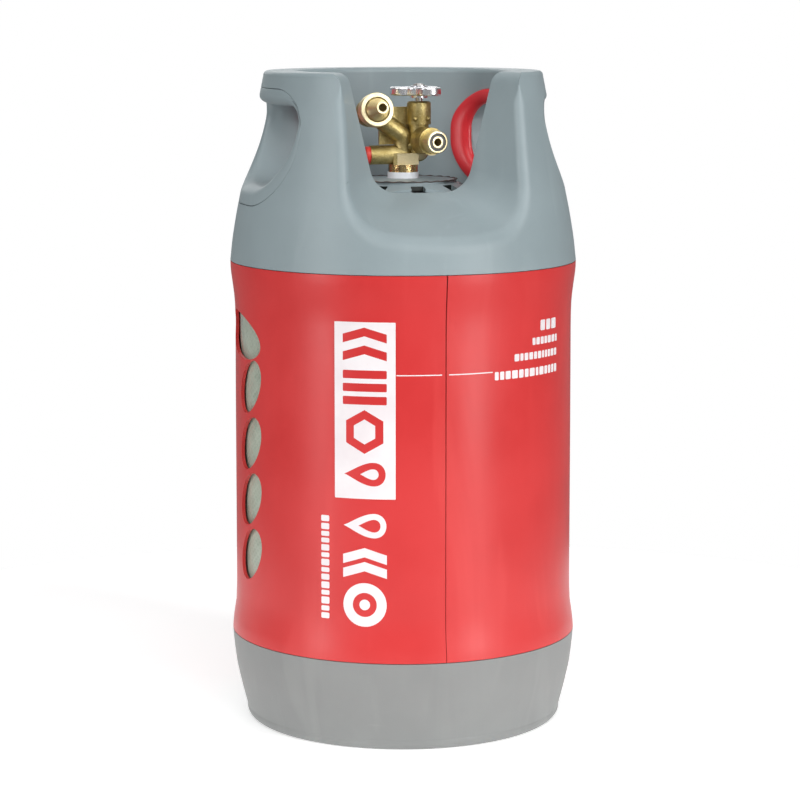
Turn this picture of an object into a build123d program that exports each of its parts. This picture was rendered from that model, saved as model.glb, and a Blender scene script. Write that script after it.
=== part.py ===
"""Refillable composite gas cylinder with a moulded casing, a two-port valve and a fill stop.

Millimetres. +Z is up, the front (valve ports) faces -Y and the origin is the centre of the foot.
"""

import os
from math import cos, radians, sin

from build123d import *

# Overall envelope
HEIGHT = 574.0
JOINT_GAP = 0.6
BASE_TOP = 78.8
SLEEVE_BOTTOM = BASE_TOP + JOINT_GAP
SLEEVE_TOP = 408.5
CASING_BOTTOM = SLEEVE_TOP + JOINT_GAP

# Wall thicknesses
CASING_WALL = 4.0
SLEEVE_WALL = 3.0

# Outer outlines as (radius, height)
BASE_OUTLINE = [
    (140.2, 9.0), (142.3, 17.0), (144.6, 26.0), (146.9, 36.0), (148.9, 45.0),
    (150.3, 54.0), (151.4, 63.0), (152.4, 73.0), (152.8, BASE_TOP),
]
BASE_FOOT = (122.0, 134.5)
BASE_EDGE_POINT = (138.6, 2.6)
BASE_INSIDE = 4.4
SLEEVE_OUTLINE = [
    (152.8, SLEEVE_BOTTOM), (152.3, 86.5), (151.1, 95.0), (149.9, 102.5), (149.4, 110.0),
    (149.0, 137.0), (148.8, 210.0), (148.5, 318.0), (148.4, 360.0), (148.7, 372.0),
    (150.1, 386.0), (151.8, 398.5), (152.3, SLEEVE_TOP),
]
CASING_OUTLINE = [
    (152.3, CASING_BOTTOM), (151.6, 416.0), (150.6, 425.0), (149.3, 434.0), (147.8, 443.0),
    (146.2, 452.0), (144.6, 460.0),
]
FLANK_START = (-0.1, 1.0)
FLANK_END = (-0.204, 1.0)
CASING_SHOULDER = (122.2, 569.8)
RIM_EDGE_POINT = (120.9, 572.9)
RIM_EDGE_END = (118.2, HEIGHT)
CAVITY_SHOULDER = (118.6, 566.0)
CAVITY_TOP = (114.5, 570.0)

# Spigots that join the three casing parts
SPIGOT_INNER = 145.2
BASE_SPIGOT = (148.2, 70.0, 91.0)
CASING_SPIGOT = (147.6, 397.0, 414.0)
SPIGOT_ROOT_RADIUS = 149.4

# Base casing details
BASE_FLOOR = (4.0, 9.0)
BASE_FLOOR_EDGE = 136.2
BASE_FLOOR_HOLE = 46.0
CRADLE_RADII = (94.0, 98.0)
CRADLE_TOP = 36.6
BASE_RIB_COUNT = 12
BASE_RIB = (39.0, 3.0, 30.0)
DRAIN_COUNT = 6
DRAIN_RADIUS = 5.0
DRAIN_CIRCLE = 115.0
DRAIN_START = 15.0
RIB_OVERLAP = 1.0

# Sleeve seam and windows: (azimuth, height, half width, half height, tilt)
SEAM_WIDTHS = (0.5, 1.0)
SEAM_OVERRUN = 1.0
WINDOWS = [
    (-87.0, 347.0, 45.0, 19.0, -10.0),
    (-77.5, 304.0, 17.5, 27.0, -38.0),
    (-77.5, 254.3, 17.5, 27.0, -38.0),
    (-77.5, 205.2, 17.5, 27.0, -38.0),
    (-77.5, 156.5, 17.5, 26.6, -38.0),
]
WINDOW_CUT_START = 136.0
WINDOW_CUT_DEPTH = 20.0

# Valve chamber in the top casing
CHAMBER_RADIUS = 92.0
CHAMBER_FRONT = 63.0
CHAMBER_LIP = 4.0
FLOOR_HEIGHT = 477.0
FLOOR_FLAT_RADIUS = 47.0
FLOOR_SLOPE = 0.4
FLOOR_THICKNESS = 4.3
CLEAR_TOP = 612.0

# Front scoop, at its inner plane and at a plane outside the casing
SCOOP_INNER = (63.0, 39.85, 64.2, 471.2, 25.0, 12.0)
SCOOP_OUTER = (175.0, 113.5, 113.5, 426.4, 50.0, 15.0)
SCOOP_SHELF = 40.0
SCOOP_LIP = 574.2
SCOOP_WALL = 4.7
SCOOP_OVERRUN = 8.0

# Floor slots
SLOT_COUNT = 10
SLOT_WIDTH = 12.5
SLOT_START = 49.6
SLOT_END = 62.2
SLOT_CORNER = 1.5
SLOT_CUT_BOTTOM = 462.0
SLOT_CUT_DEPTH = 20.0

# Hand openings: (half width, bottom, top, bottom radius, top radius)
BEZEL = (76.0, 459.5, 560.0, 50.0, 40.0)
BEZEL_GAP = 0.5
APERTURE = (65.5, 476.0, 545.4, 46.0, 18.0)
THROAT = (57.0, 473.5, 543.5, 40.0, 16.0)
TUNNEL_WALL = 5.0
TUNNEL_MOUTH_X = 106.0
TUNNEL_INNER_X = 60.0
TUNNEL_END_RADIUS = 97.2
BEZEL_THICKNESS = 6.0
APERTURE_ROUND = 5.0
EDGE_MATCH = 0.3
INSERT_START = 60.0
INSERT_SHOULDER = (116.5, 566.0)
INSERT_TOP = (113.0, 570.0)
HAND_HOLE_START = 98.5
HAND_HOLE_END = 165.0
RING_OUTLINE = (67.0, 461.5, 556.0, 48.0, 36.0)
RING_BAND = 12.0
RING_FIT = 0.4
RING_ROUND = 3.0
RING_HOLE_START = 45.0
RING_INNER_RADIUS = 88.5
RING_OUTER_RADIUS = 97.0

# Neck collar
COLLAR_RADIUS = 46.3
COLLAR_BORE = 15.2
COLLAR_BOTTOM = 470.0
COLLAR_EDGE_TOP = 479.0
COLLAR_CENTRE_TOP = 480.2

# Vessel
VESSEL_RADIUS = 144.0
VESSEL_DOMES = (385.0, 80.0, 95.0, 77.0)
VESSEL_MIDDLE = 240.0
COMPOSITE_WALL = 4.5
LINER_WALL = 1.8
NECK_RADIUS = 22.0
BOSS_TOP_RADIUS = 15.0
BOSS_TOP = 480.3
BOSS_FLANGE = (34.0, 446.0, 455.5)
BOSS_SEAL = (25.0, 30.0, 455.5, 456.8)
PLUG_RADIUS = 15.0
PLUG_BOTTOM = 14.0
PLUG_FLANGE = (24.0, 25.6, 30.0)

# Valve stem on the vessel axis
STEM_RADIUS = 10.0
STEM_BOTTOM = 446.0
FILL_WAY = (3.0, 511.0)
VAPOUR_WAY = (1.8, 5.6, 507.0)
RELIEF_WAY = (1.6, -6.0)
VAPOUR_TURN_Z = 505.0
WASHER_RADIUS = 13.7
WASHER_TOP = 485.5
COLLAR_RING = (13.0, 492.3)
BLOCK_SIDE = 22.4
BLOCK_CENTRE = 2.35
BLOCK_TURN = -12.0
BLOCK_EDGE = 1.0
BLOCK_TOP = 502.0
COLUMN_RADIUS = 7.8
COLUMN_TOP = 511.0
NECK_RING_Z = 477.2
NECK_RING_TUBE = 1.1

# Shut-off tower beside the stem
TOWER_X = 13.5
TOWER_Y = -3.0
TOWER_RADIUS = 8.6
TOWER_BOTTOM = 503.0
TOWER_TOP = 533.0
SEAT_Z = 511.0
SEAT_BORE = 2.4
BRIDGE = (6.6, 508.0)
PLUG_BORE = 5.55
SHUTOFF_PLUG = (5.5, 513.0, 523.0)
SEAT_DISC = (4.2, 511.2)
DISC_POCKET_TOP = 514.4
PLUG_THREAD_BORE = 2.06
PLUG_THREAD_DEPTH = 515.4
BONNET_RADIUS = 10.5
BONNET_BOTTOM = 527.0
BONNET_TOP = 547.0
BONNET_CHAMFER = 1.4
BONNET_PIN = (2.3, 10.6, 532.0, 33.0)
SPINDLE_RADIUS = 3.0
SPINDLE_FIT = 0.05
SPINDLE_TIP = (2.0, 519.6)
SPINDLE_SHOULDER = 528.5
SPINDLE_FLANGE = (4.4, 534.4, 537.4)
FLANGE_POCKET = (4.5, 533.0, 537.5)
GLAND_POCKET = (4.8, 541.0, 543.4)
GLAND_SEAL = (3.9, 0.84)
WHEEL_BOTTOM = 552.2
WHEEL_TOP = 559.6
WHEEL_HUB = (7.6, 550.0, 560.6)
WHEEL_CORE = 15.5
WHEEL_VALLEY = 2.0
WHEEL_LOBES = 3
WHEEL_LOBE_RADIUS = 11.0
WHEEL_LOBE_CIRCLE = 14.5
WHEEL_EDGE = 1.6
WHEEL_TURN = 51.0
NUT_RADIUS = 5.2
NUT_TOP = 561.9
SPINDLE_TOP = 562.6

# Outlet branch
OUTLET_TURN = 11.0
OUTLET_Z = 513.0
OUTLET_BODY = (12.0, 8.0, 26.0)
OUTLET_BODY_EDGE = 2.2
OUTLET_SOCKET = (8.6, 20.0)
OUTLET_UNION = (9.75, 38.5)
OUTLET_RECESS = (8.0, 5.0, 33.5)
OUTLET_BORE = 3.5
UNION_EDGE = 0.8
OUTLET_SEAL_FACE = 37.5

# Filler arm and connector
FILL_FACE = (-28.7, -24.0, 541.0)
FILL_TURN = 2.0
FILL_PITCH = 8.0
FILL_BODY = (12.4, -32.0, -10.5)
FILL_BODY_ROUND = 2.5
FILL_CUP = (14.75, -10.5)
FILL_CUP_RECESS = (11.2, -4.5)
FILL_CUP_EDGE = 0.8
FILL_SPIGOT = (8.5, -20.5)
FILL_CHAMBER = (6.0, -28.6)
FILL_GUIDE_BORE = 3.7
FILL_NOZZLE_OUTLINE = [(10.6, -4.5), (10.2, 0.0), (8.4, 4.0), (6.8, 8.5), (5.7, 13.0), (5.2, 17.0)]
POPPET_HEAD = (5.4, -22.6, -20.6)
POPPET_CONE = (3.2, -19.4)
POPPET_STEM = (1.3, -12.0)
FILL_SPRING = (4.3, 0.45, -28.1, -23.1, 3.0)
ARM_RADIUS = 8.4
ARM_BORE = 2.8
ARM_FOOT = (0.0, 0.0, 509.8)
ARM_BEND = (-0.5, 0.0, 516.5)
ARM_BEND_RADIUS = 11.0
ARM_END_DEPTH = -22.0
PLATE = (28.0, 4.0, 33.0)
PLATE_CENTRE = (-6.0, 8.0, 525.5)

# Relief branch along -X
RELIEF_Z = 500.4
RELIEF_RADIUS = 8.4
RELIEF_END = -30.2
RELIEF_BORE = 5.5
RELIEF_BORE_END = -14.0
RELIEF_ORIFICE = 2.6
RELIEF_DISC = (5.44, -16.6, -14.02)
RELIEF_SPRING = (4.2, 0.6, -23.3, -17.3, 3.5)
RELIEF_ADJUSTER = (-28.0, -24.0, 2.0)
RELIEF_CAP = (7.6, -34.4, -30.2)
RELIEF_CAP_SPIGOT = (5.45, -28.1)
RELIEF_CAP_ROUND = 1.6

# Fill stop inside the vessel
HOUSING = (9.4, 404.0, 439.0)
HOUSING_NECK = (5.0, STEM_BOTTOM)
HOUSING_SPIGOT = (3.0, 452.0)
HOUSING_BORE = (5.0, 437.5)
HOUSING_PASSAGE = 2.0
HOUSING_PORT = (2.0, 435.0)
HOUSING_FORK = (8.0, 424.0)
PISTON = (4.95, 425.0, 431.0)
PISTON_STEM = (1.5, 416.0)
PIVOT_Z = 410.0
PIN_RADIUS = 1.5
PIN_FIT = 0.04
PIN_HALF_LENGTH = 8.6
FLOAT_ARM = (6.0, 5.0, 362.0)
FLOAT_ARM_EYE = 4.0
FLOAT_ROD = (2.0, 346.0)
FLOAT_SIZE = (8.6, 294.0, 360.0)
FLOAT_ROUND = 3.0

CENTRE_UP = (Align.CENTER, Align.CENTER, Align.MIN)

os.makedirs("parts", exist_ok=True)


def closed_revolve(points):
    """Solid of revolution round Z from a closed (radius, height) polygon."""
    with BuildPart() as ring:
        with BuildSketch(Plane.XZ):
            with BuildLine():
                Polyline(*points, close=True)
            make_face()
        revolve(axis=Axis.Z)
    return ring.part


def tube(outer, inner, bottom, top):
    """Plain ring on the Z axis."""
    return closed_revolve([(inner, bottom), (outer, bottom), (outer, top), (inner, top)])


def capsule(inset):
    """Solid with the vessel's shape, drawn in by an inset."""
    top_centre, top_dome, bottom_centre, bottom_dome = VESSEL_DOMES
    radius = VESSEL_RADIUS - inset
    with BuildPart() as body:
        with BuildSketch(Plane.XZ):
            with BuildLine():
                EllipticalCenterArc((0, top_centre), radius, top_dome - inset, 0, arc_size=90)
                EllipticalCenterArc(
                    (0, bottom_centre), radius, bottom_dome - inset, 270, arc_size=90
                )
                Line((radius, bottom_centre), (radius, top_centre))
                Line(
                    (0, bottom_centre - bottom_dome + inset),
                    (0, top_centre + top_dome - inset),
                )
            make_face()
        revolve(axis=Axis.Z)
    return body.part


def hand_outline(distance, size, grow):
    """D-shaped outline of a hand opening on a plane across X."""
    half_width, bottom, top, bottom_radius, top_radius = size
    with BuildSketch(Plane.YZ.offset(distance)) as outline:
        with Locations((0, (top + bottom) / 2)):
            Rectangle(2 * (half_width + grow), top - bottom + 2 * grow)
        fillet(outline.vertices().group_by(Axis.Y)[0], bottom_radius + grow)
        fillet(outline.vertices().group_by(Axis.Y)[-1], top_radius + grow)
    return outline.sketch


def hand_prism(size, grow, start, end):
    """Prism of a hand opening between two distances along X."""
    with BuildPart() as prism:
        extrude(hand_outline(start, size, grow), amount=end - start, dir=(1, 0, 0))
    return prism.part


def hand_tunnel(grow):
    """Tapered tunnel of a hand opening, from the outer face to the valve chamber."""
    throat = hand_outline(TUNNEL_INNER_X, THROAT, grow)
    mouth = hand_outline(TUNNEL_MOUTH_X, APERTURE, grow)
    with BuildPart() as tunnel:
        loft([throat.face(), mouth.face()], ruled=True)
        extrude(mouth, amount=HAND_HOLE_END - TUNNEL_MOUTH_X, dir=(1, 0, 0))
    return tunnel.part


def scoop_section(section, grow):
    """Outline of the front scoop on a plane across Y, widened by a wall thickness."""
    distance, bottom_half, top_half, bottom, bottom_radius, lip_radius = section
    low = bottom - grow
    lip = SCOOP_LIP - grow
    near = bottom_half + grow
    far = top_half + grow
    with BuildSketch(Plane.XZ.offset(distance)) as outline:
        with BuildLine():
            Polyline(
                (-near, low), (near, low), (far, lip), (far + SCOOP_SHELF, lip),
                (far + SCOOP_SHELF, CLEAR_TOP), (-far - SCOOP_SHELF, CLEAR_TOP),
                (-far - SCOOP_SHELF, lip), (-far, lip), close=True,
            )
        make_face()
        fillet(outline.vertices().group_by(Axis.Y)[0], bottom_radius)
        inner_lip = outline.vertices().group_by(Axis.Y)[-2].sort_by(Axis.X)
        fillet(inner_lip[1:3], lip_radius - grow)
    return outline.sketch


def scoop(grow):
    """Space cut by the front scoop, tapering from outside to the valve chamber."""
    inner = scoop_section(SCOOP_INNER, grow)
    outer = scoop_section(SCOOP_OUTER, grow)
    with BuildPart() as space:
        loft([inner.face(), outer.face()], ruled=True)
        extrude(inner, amount=SCOOP_OVERRUN, dir=(0, 1, 0))
    return space.part


def chamber(grow):
    """Valve chamber above its cone floor, flat at the front."""
    radius = CHAMBER_RADIUS + grow
    drop = FLOOR_THICKNESS * grow / CASING_WALL
    floor = FLOOR_HEIGHT - drop
    foot = floor - FLOOR_SLOPE * (radius - FLOOR_FLAT_RADIUS)
    with BuildPart() as space:
        with BuildSketch(Plane.XZ):
            with BuildLine():
                Polyline(
                    (radius, HEIGHT - CHAMBER_LIP), (radius, foot), (FLOOR_FLAT_RADIUS, floor),
                    (0, floor), (0, CLEAR_TOP), (radius + CHAMBER_LIP, CLEAR_TOP),
                    (radius + CHAMBER_LIP, HEIGHT),
                )
                RadiusArc(
                    (radius, HEIGHT - CHAMBER_LIP), (radius + CHAMBER_LIP, HEIGHT), CHAMBER_LIP
                )
            make_face()
        revolve(axis=Axis.Z)
        with BuildSketch(Plane.XY.offset(VESSEL_MIDDLE)):
            with Locations((0, -CHAMBER_FRONT - grow - CHAMBER_RADIUS)):
                Rectangle(4 * CHAMBER_RADIUS, 2 * CHAMBER_RADIUS)
        extrude(amount=CLEAR_TOP, mode=Mode.SUBTRACT)
    return space.part


def bent_rod(path, radius):
    """Round bar along a path."""
    with BuildPart() as bar:
        with BuildSketch(Plane(origin=path.line @ 0, z_dir=path.line % 0)):
            Circle(radius)
        sweep(path=path.line)
    return bar.part


def rod(plane, radius, start, end):
    """Cylinder along a plane's normal between two distances from it."""
    with BuildPart() as bar:
        with BuildSketch(plane.offset(start)):
            Circle(radius)
        extrude(amount=end - start)
    return bar.part


def coil(plane, size):
    """Compression spring along a plane's normal."""
    radius, wire, start, end, turns = size
    foot = plane.offset(start).origin
    with BuildPart() as spring:
        with BuildLine():
            path = Helix(
                (end - start) / turns, end - start, radius, center=foot, direction=plane.z_dir
            )
        with BuildSketch(Plane(origin=path @ 0, z_dir=path % 0)):
            Circle(wire)
        sweep()
    return spring.part


def revolved_outline(points, corner, inner_points):
    """Solid of revolution between a smooth outer outline and a smooth inner one."""
    with BuildPart() as wall:
        with BuildSketch(Plane.XZ):
            with BuildLine():
                Spline(*points)
                Polyline(points[-1], *corner, inner_points[-1])
                Spline(*inner_points)
                Line(inner_points[0], points[0])
            make_face()
        revolve(axis=Axis.Z)
    return wall.part


def casing_solid(inset, shoulder, edge):
    """Top casing's outer shape, drawn in by an inset."""
    flank = [(radius - inset, height) for radius, height in CASING_OUTLINE]
    with BuildPart() as body:
        with BuildSketch(Plane.XZ):
            with BuildLine():
                Spline(*flank, tangents=[FLANK_START, FLANK_END])
                Line(flank[-1], shoulder)
                if inset:
                    Line(shoulder, edge)
                else:
                    ThreePointArc(shoulder, RIM_EDGE_POINT, edge)
                Polyline(edge, (0, edge[1]), (0, CASING_BOTTOM), flank[0])
            make_face()
        revolve(axis=Axis.Z)
    return body.part


def casing_radius(height):
    """Radius of the casing's outer face above its curved skirt."""
    low_radius, low = CASING_OUTLINE[-1]
    high_radius, high = CASING_SHOULDER
    return low_radius + (height - low) * (high_radius - low_radius) / (high - low)


def at_aperture(edge):
    """True for an edge where the hand tunnel meets the casing's outer face."""
    half_width, bottom, top = APERTURE[:3]
    for fraction in (0, 0.5, 1):
        spot = edge.position_at(fraction)
        radius = Vector(spot.X, spot.Y, 0).length
        if abs(radius - casing_radius(spot.Z)) > EDGE_MATCH:
            return False
        if abs(spot.Y) > half_width + EDGE_MATCH:
            return False
        if not bottom - EDGE_MATCH < spot.Z < top + EDGE_MATCH:
            return False
    return True


def faces_inward(face):
    """True for a grip ring face that looks into the valve chamber."""
    middle = face.center()
    return Vector(middle.X, middle.Y, 0).length < CHAMBER_RADIUS


# Solids shared by the casing parts
envelope = casing_solid(0, CASING_SHOULDER, RIM_EDGE_END)
casing_cavity = (
    casing_solid(CASING_WALL, CAVITY_SHOULDER, CAVITY_TOP)
    - chamber(CASING_WALL)
    - scoop(SCOOP_WALL)
)
hand_hole = hand_prism(BEZEL, 0, HAND_HOLE_START, HAND_HOLE_END)
ring_band = tube(
    RING_OUTER_RADIUS + RING_FIT, RING_INNER_RADIUS - RING_FIT, VESSEL_MIDDLE, CLEAR_TOP
)
ring_hole = hand_prism(RING_OUTLINE, RING_FIT, RING_HOLE_START, HAND_HOLE_START) & ring_band

# Top casing
spigot_outer, spigot_bottom, spigot_root = CASING_SPIGOT
with BuildPart() as top_casing:
    add(envelope)
    add(scoop(0), mode=Mode.SUBTRACT)
    add(chamber(0), mode=Mode.SUBTRACT)
    add(casing_cavity, mode=Mode.SUBTRACT)
    with BuildSketch(Plane.XZ):
        with BuildLine():
            Polyline(
                (SPIGOT_INNER, spigot_bottom), (spigot_outer, spigot_bottom),
                (spigot_outer, CASING_BOTTOM), (SPIGOT_ROOT_RADIUS, CASING_BOTTOM),
                (SPIGOT_ROOT_RADIUS, spigot_root), (SPIGOT_INNER, spigot_root), close=True,
            )
        make_face()
    revolve(axis=Axis.Z)
    with BuildSketch(Plane.XY.offset(SLOT_CUT_BOTTOM)):
        Circle(FLOOR_FLAT_RADIUS)
        with PolarLocations((SLOT_START + SLOT_END) / 2, SLOT_COUNT, start_angle=-90):
            RectangleRounded(SLOT_END - SLOT_START, SLOT_WIDTH, SLOT_CORNER)
    extrude(amount=SLOT_CUT_DEPTH, mode=Mode.SUBTRACT)
    add(hand_hole, mode=Mode.SUBTRACT)
    add(hand_hole.mirror(Plane.YZ), mode=Mode.SUBTRACT)
    add(ring_hole, mode=Mode.SUBTRACT)
    add(ring_hole.mirror(Plane.YZ), mode=Mode.SUBTRACT)

# Clip-in inserts that line the hand openings
insert_hollow = (
    casing_solid(BEZEL_THICKNESS, INSERT_SHOULDER, INSERT_TOP) - hand_tunnel(TUNNEL_WALL)
)
with BuildPart() as handle_insert_right:
    add(envelope)
    add(hand_prism(BEZEL, -BEZEL_GAP, INSERT_START, HAND_HOLE_END), mode=Mode.INTERSECT)
    add(insert_hollow, mode=Mode.SUBTRACT)
    add(rod(Plane.XY, TUNNEL_END_RADIUS, VESSEL_MIDDLE, CLEAR_TOP), mode=Mode.SUBTRACT)
    add(hand_tunnel(0), mode=Mode.SUBTRACT)
    mouth = handle_insert_right.edges().filter_by(at_aperture)
    fillet(mouth, APERTURE_ROUND)
with BuildPart() as handle_insert_left:
    add(handle_insert_right.part.mirror(Plane.YZ))

# Red rings round the inner ends of the hand openings
with BuildPart() as grip_ring_right:
    add(tube(RING_OUTER_RADIUS, RING_INNER_RADIUS, VESSEL_MIDDLE, CLEAR_TOP))
    add(hand_prism(RING_OUTLINE, 0, RING_HOLE_START, HAND_HOLE_START), mode=Mode.INTERSECT)
    add(
        hand_prism(RING_OUTLINE, -RING_BAND, RING_HOLE_START, HAND_HOLE_START),
        mode=Mode.SUBTRACT,
    )
    inner_face = grip_ring_right.faces().filter_by(GeomType.CYLINDER).sort_by(Axis.X)
    fillet(inner_face.filter_by(faces_inward).edges(), RING_ROUND)
with BuildPart() as grip_ring_left:
    add(grip_ring_right.part.mirror(Plane.YZ))

# Disc round the neck, inside the slotted floor
with BuildPart() as neck_collar:
    add(
        closed_revolve([
            (COLLAR_BORE, COLLAR_BOTTOM), (NECK_RADIUS, COLLAR_BOTTOM),
            (COLLAR_RADIUS, FLOOR_HEIGHT - FLOOR_THICKNESS), (COLLAR_RADIUS, COLLAR_EDGE_TOP),
            (COLLAR_BORE, COLLAR_CENTRE_TOP),
        ])
    )

# Sleeve with its seam and level windows
with BuildPart() as sleeve:
    sleeve_inside = [(radius - SLEEVE_WALL, height) for radius, height in SLEEVE_OUTLINE]
    add(revolved_outline(SLEEVE_OUTLINE, [], sleeve_inside))
    seam_low, seam_high = SEAM_WIDTHS
    with BuildSketch(Plane.XZ.offset(WINDOW_CUT_START)):
        with BuildLine():
            Polyline(
                (-seam_low / 2, SLEEVE_BOTTOM - SEAM_OVERRUN),
                (seam_low / 2, SLEEVE_BOTTOM - SEAM_OVERRUN),
                (seam_high / 2, SLEEVE_TOP + SEAM_OVERRUN),
                (-seam_high / 2, SLEEVE_TOP + SEAM_OVERRUN), close=True,
            )
        make_face()
    extrude(amount=WINDOW_CUT_DEPTH, mode=Mode.SUBTRACT)
    for azimuth, height, half_width, half_height, tilt in WINDOWS:
        outward = Vector(sin(radians(azimuth)), -cos(radians(azimuth)), 0)
        across = Vector(cos(radians(azimuth)), sin(radians(azimuth)), 0)
        foot = outward * WINDOW_CUT_START + Vector(0, 0, height)
        with BuildSketch(Plane(origin=foot, x_dir=across, z_dir=outward)):
            Ellipse(half_width, half_height, rotation=tilt)
        extrude(amount=WINDOW_CUT_DEPTH, mode=Mode.SUBTRACT)

# Foot
base_inside = [(radius - BASE_INSIDE, height) for radius, height in BASE_OUTLINE[1:-1]]
base_spigot_outer, base_spigot_root, base_spigot_top = BASE_SPIGOT
floor_bottom, floor_top = BASE_FLOOR
foot_inner, foot_outer = BASE_FOOT
rib_length, rib_width, rib_top = BASE_RIB
cradle_inner, cradle_outer = CRADLE_RADII
with BuildPart() as base_casing:
    with BuildSketch(Plane.XZ):
        with BuildLine():
            Spline(*BASE_OUTLINE)
            Polyline(
                BASE_OUTLINE[-1], (base_spigot_outer, BASE_TOP),
                (base_spigot_outer, base_spigot_top), (SPIGOT_INNER, base_spigot_top),
                (SPIGOT_INNER, base_spigot_root), base_inside[-1],
            )
            Spline(*base_inside)
            Polyline(
                base_inside[0], (BASE_FLOOR_EDGE, floor_top), (BASE_FLOOR_HOLE, floor_top),
                (BASE_FLOOR_HOLE, floor_bottom), (foot_inner - floor_bottom, floor_bottom),
                (foot_inner, 0), (foot_outer, 0),
            )
            ThreePointArc((foot_outer, 0), BASE_EDGE_POINT, BASE_OUTLINE[0])
        make_face()
    revolve(axis=Axis.Z)
    with BuildSketch(Plane.XY.offset(floor_bottom)):
        Circle(cradle_outer)
        Circle(cradle_inner, mode=Mode.SUBTRACT)
    extrude(amount=CRADLE_TOP - floor_bottom)
    with BuildSketch(Plane.XY.offset(floor_bottom)):
        with PolarLocations(cradle_outer + rib_length / 2 - RIB_OVERLAP, BASE_RIB_COUNT):
            Rectangle(rib_length, rib_width)
    extrude(amount=rib_top - floor_bottom)
    with BuildSketch():
        with PolarLocations(DRAIN_CIRCLE, DRAIN_COUNT, start_angle=DRAIN_START):
            Circle(DRAIN_RADIUS)
    extrude(amount=floor_top, mode=Mode.SUBTRACT)

# Vessel: wound shell, liner, neck boss, its seal and the closed bottom plug
vessel_core = capsule(COMPOSITE_WALL)
neck_cut = rod(Plane.XY, NECK_RADIUS, VESSEL_MIDDLE, HEIGHT)
tail_cut = rod(Plane.XY, PLUG_RADIUS, 0, VESSEL_MIDDLE)
with BuildPart() as composite_shell:
    add(capsule(0))
    add(vessel_core, mode=Mode.SUBTRACT)
    add(neck_cut, mode=Mode.SUBTRACT)
    add(tail_cut, mode=Mode.SUBTRACT)
with BuildPart() as liner:
    add(vessel_core)
    add(capsule(COMPOSITE_WALL + LINER_WALL), mode=Mode.SUBTRACT)
    add(neck_cut, mode=Mode.SUBTRACT)
    add(tail_cut, mode=Mode.SUBTRACT)
boss_flange_radius, boss_bottom, boss_flange_top = BOSS_FLANGE
with BuildPart() as neck_boss:
    add(
        closed_revolve([
            (STEM_RADIUS, boss_bottom), (boss_flange_radius, boss_bottom),
            (boss_flange_radius, boss_flange_top), (NECK_RADIUS, boss_flange_top),
            (NECK_RADIUS, COLLAR_BOTTOM), (BOSS_TOP_RADIUS, COLLAR_BOTTOM),
            (BOSS_TOP_RADIUS, BOSS_TOP), (STEM_RADIUS, BOSS_TOP),
        ])
    )
    groove_radius = STEM_RADIUS + 2 * NECK_RING_TUBE
    groove_bottom = NECK_RING_Z - NECK_RING_TUBE
    groove_top = NECK_RING_Z + NECK_RING_TUBE
    add(tube(groove_radius, STEM_RADIUS, groove_bottom, groove_top), mode=Mode.SUBTRACT)
with BuildPart() as boss_seal:
    seal_inner, seal_outer, seal_bottom, seal_top = BOSS_SEAL
    add(tube(seal_outer, seal_inner, seal_bottom, seal_top))
with BuildPart() as base_plug:
    flange_radius, flange_bottom, flange_top = PLUG_FLANGE
    add(rod(Plane.XY, PLUG_RADIUS, PLUG_BOTTOM, flange_bottom))
    add(rod(Plane.XY, flange_radius, flange_bottom, flange_top))

# Valve axes
tower_plane = Plane(origin=(TOWER_X, TOWER_Y, 0))
outlet_x = sin(radians(OUTLET_TURN))
outlet_y = -cos(radians(OUTLET_TURN))
outlet_plane = Plane(
    origin=(TOWER_X, TOWER_Y, OUTLET_Z), x_dir=(-outlet_y, outlet_x, 0),
    z_dir=(outlet_x, outlet_y, 0),
)
fill_x = sin(radians(FILL_TURN)) * cos(radians(FILL_PITCH))
fill_y = -cos(radians(FILL_TURN)) * cos(radians(FILL_PITCH))
fill_axis = Vector(fill_x, fill_y, sin(radians(FILL_PITCH)))
fill_plane = Plane(origin=FILL_FACE, x_dir=(-fill_y, fill_x, 0), z_dir=fill_axis)
relief_plane = Plane(origin=(0, 0, RELIEF_Z), x_dir=(0, 1, 0), z_dir=(1, 0, 0))
arm_end = Vector(*FILL_FACE) + fill_axis * ARM_END_DEPTH
with BuildLine() as arm_path:
    FilletPolyline(ARM_FOOT, ARM_BEND, arm_end, radius=ARM_BEND_RADIUS)

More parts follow.
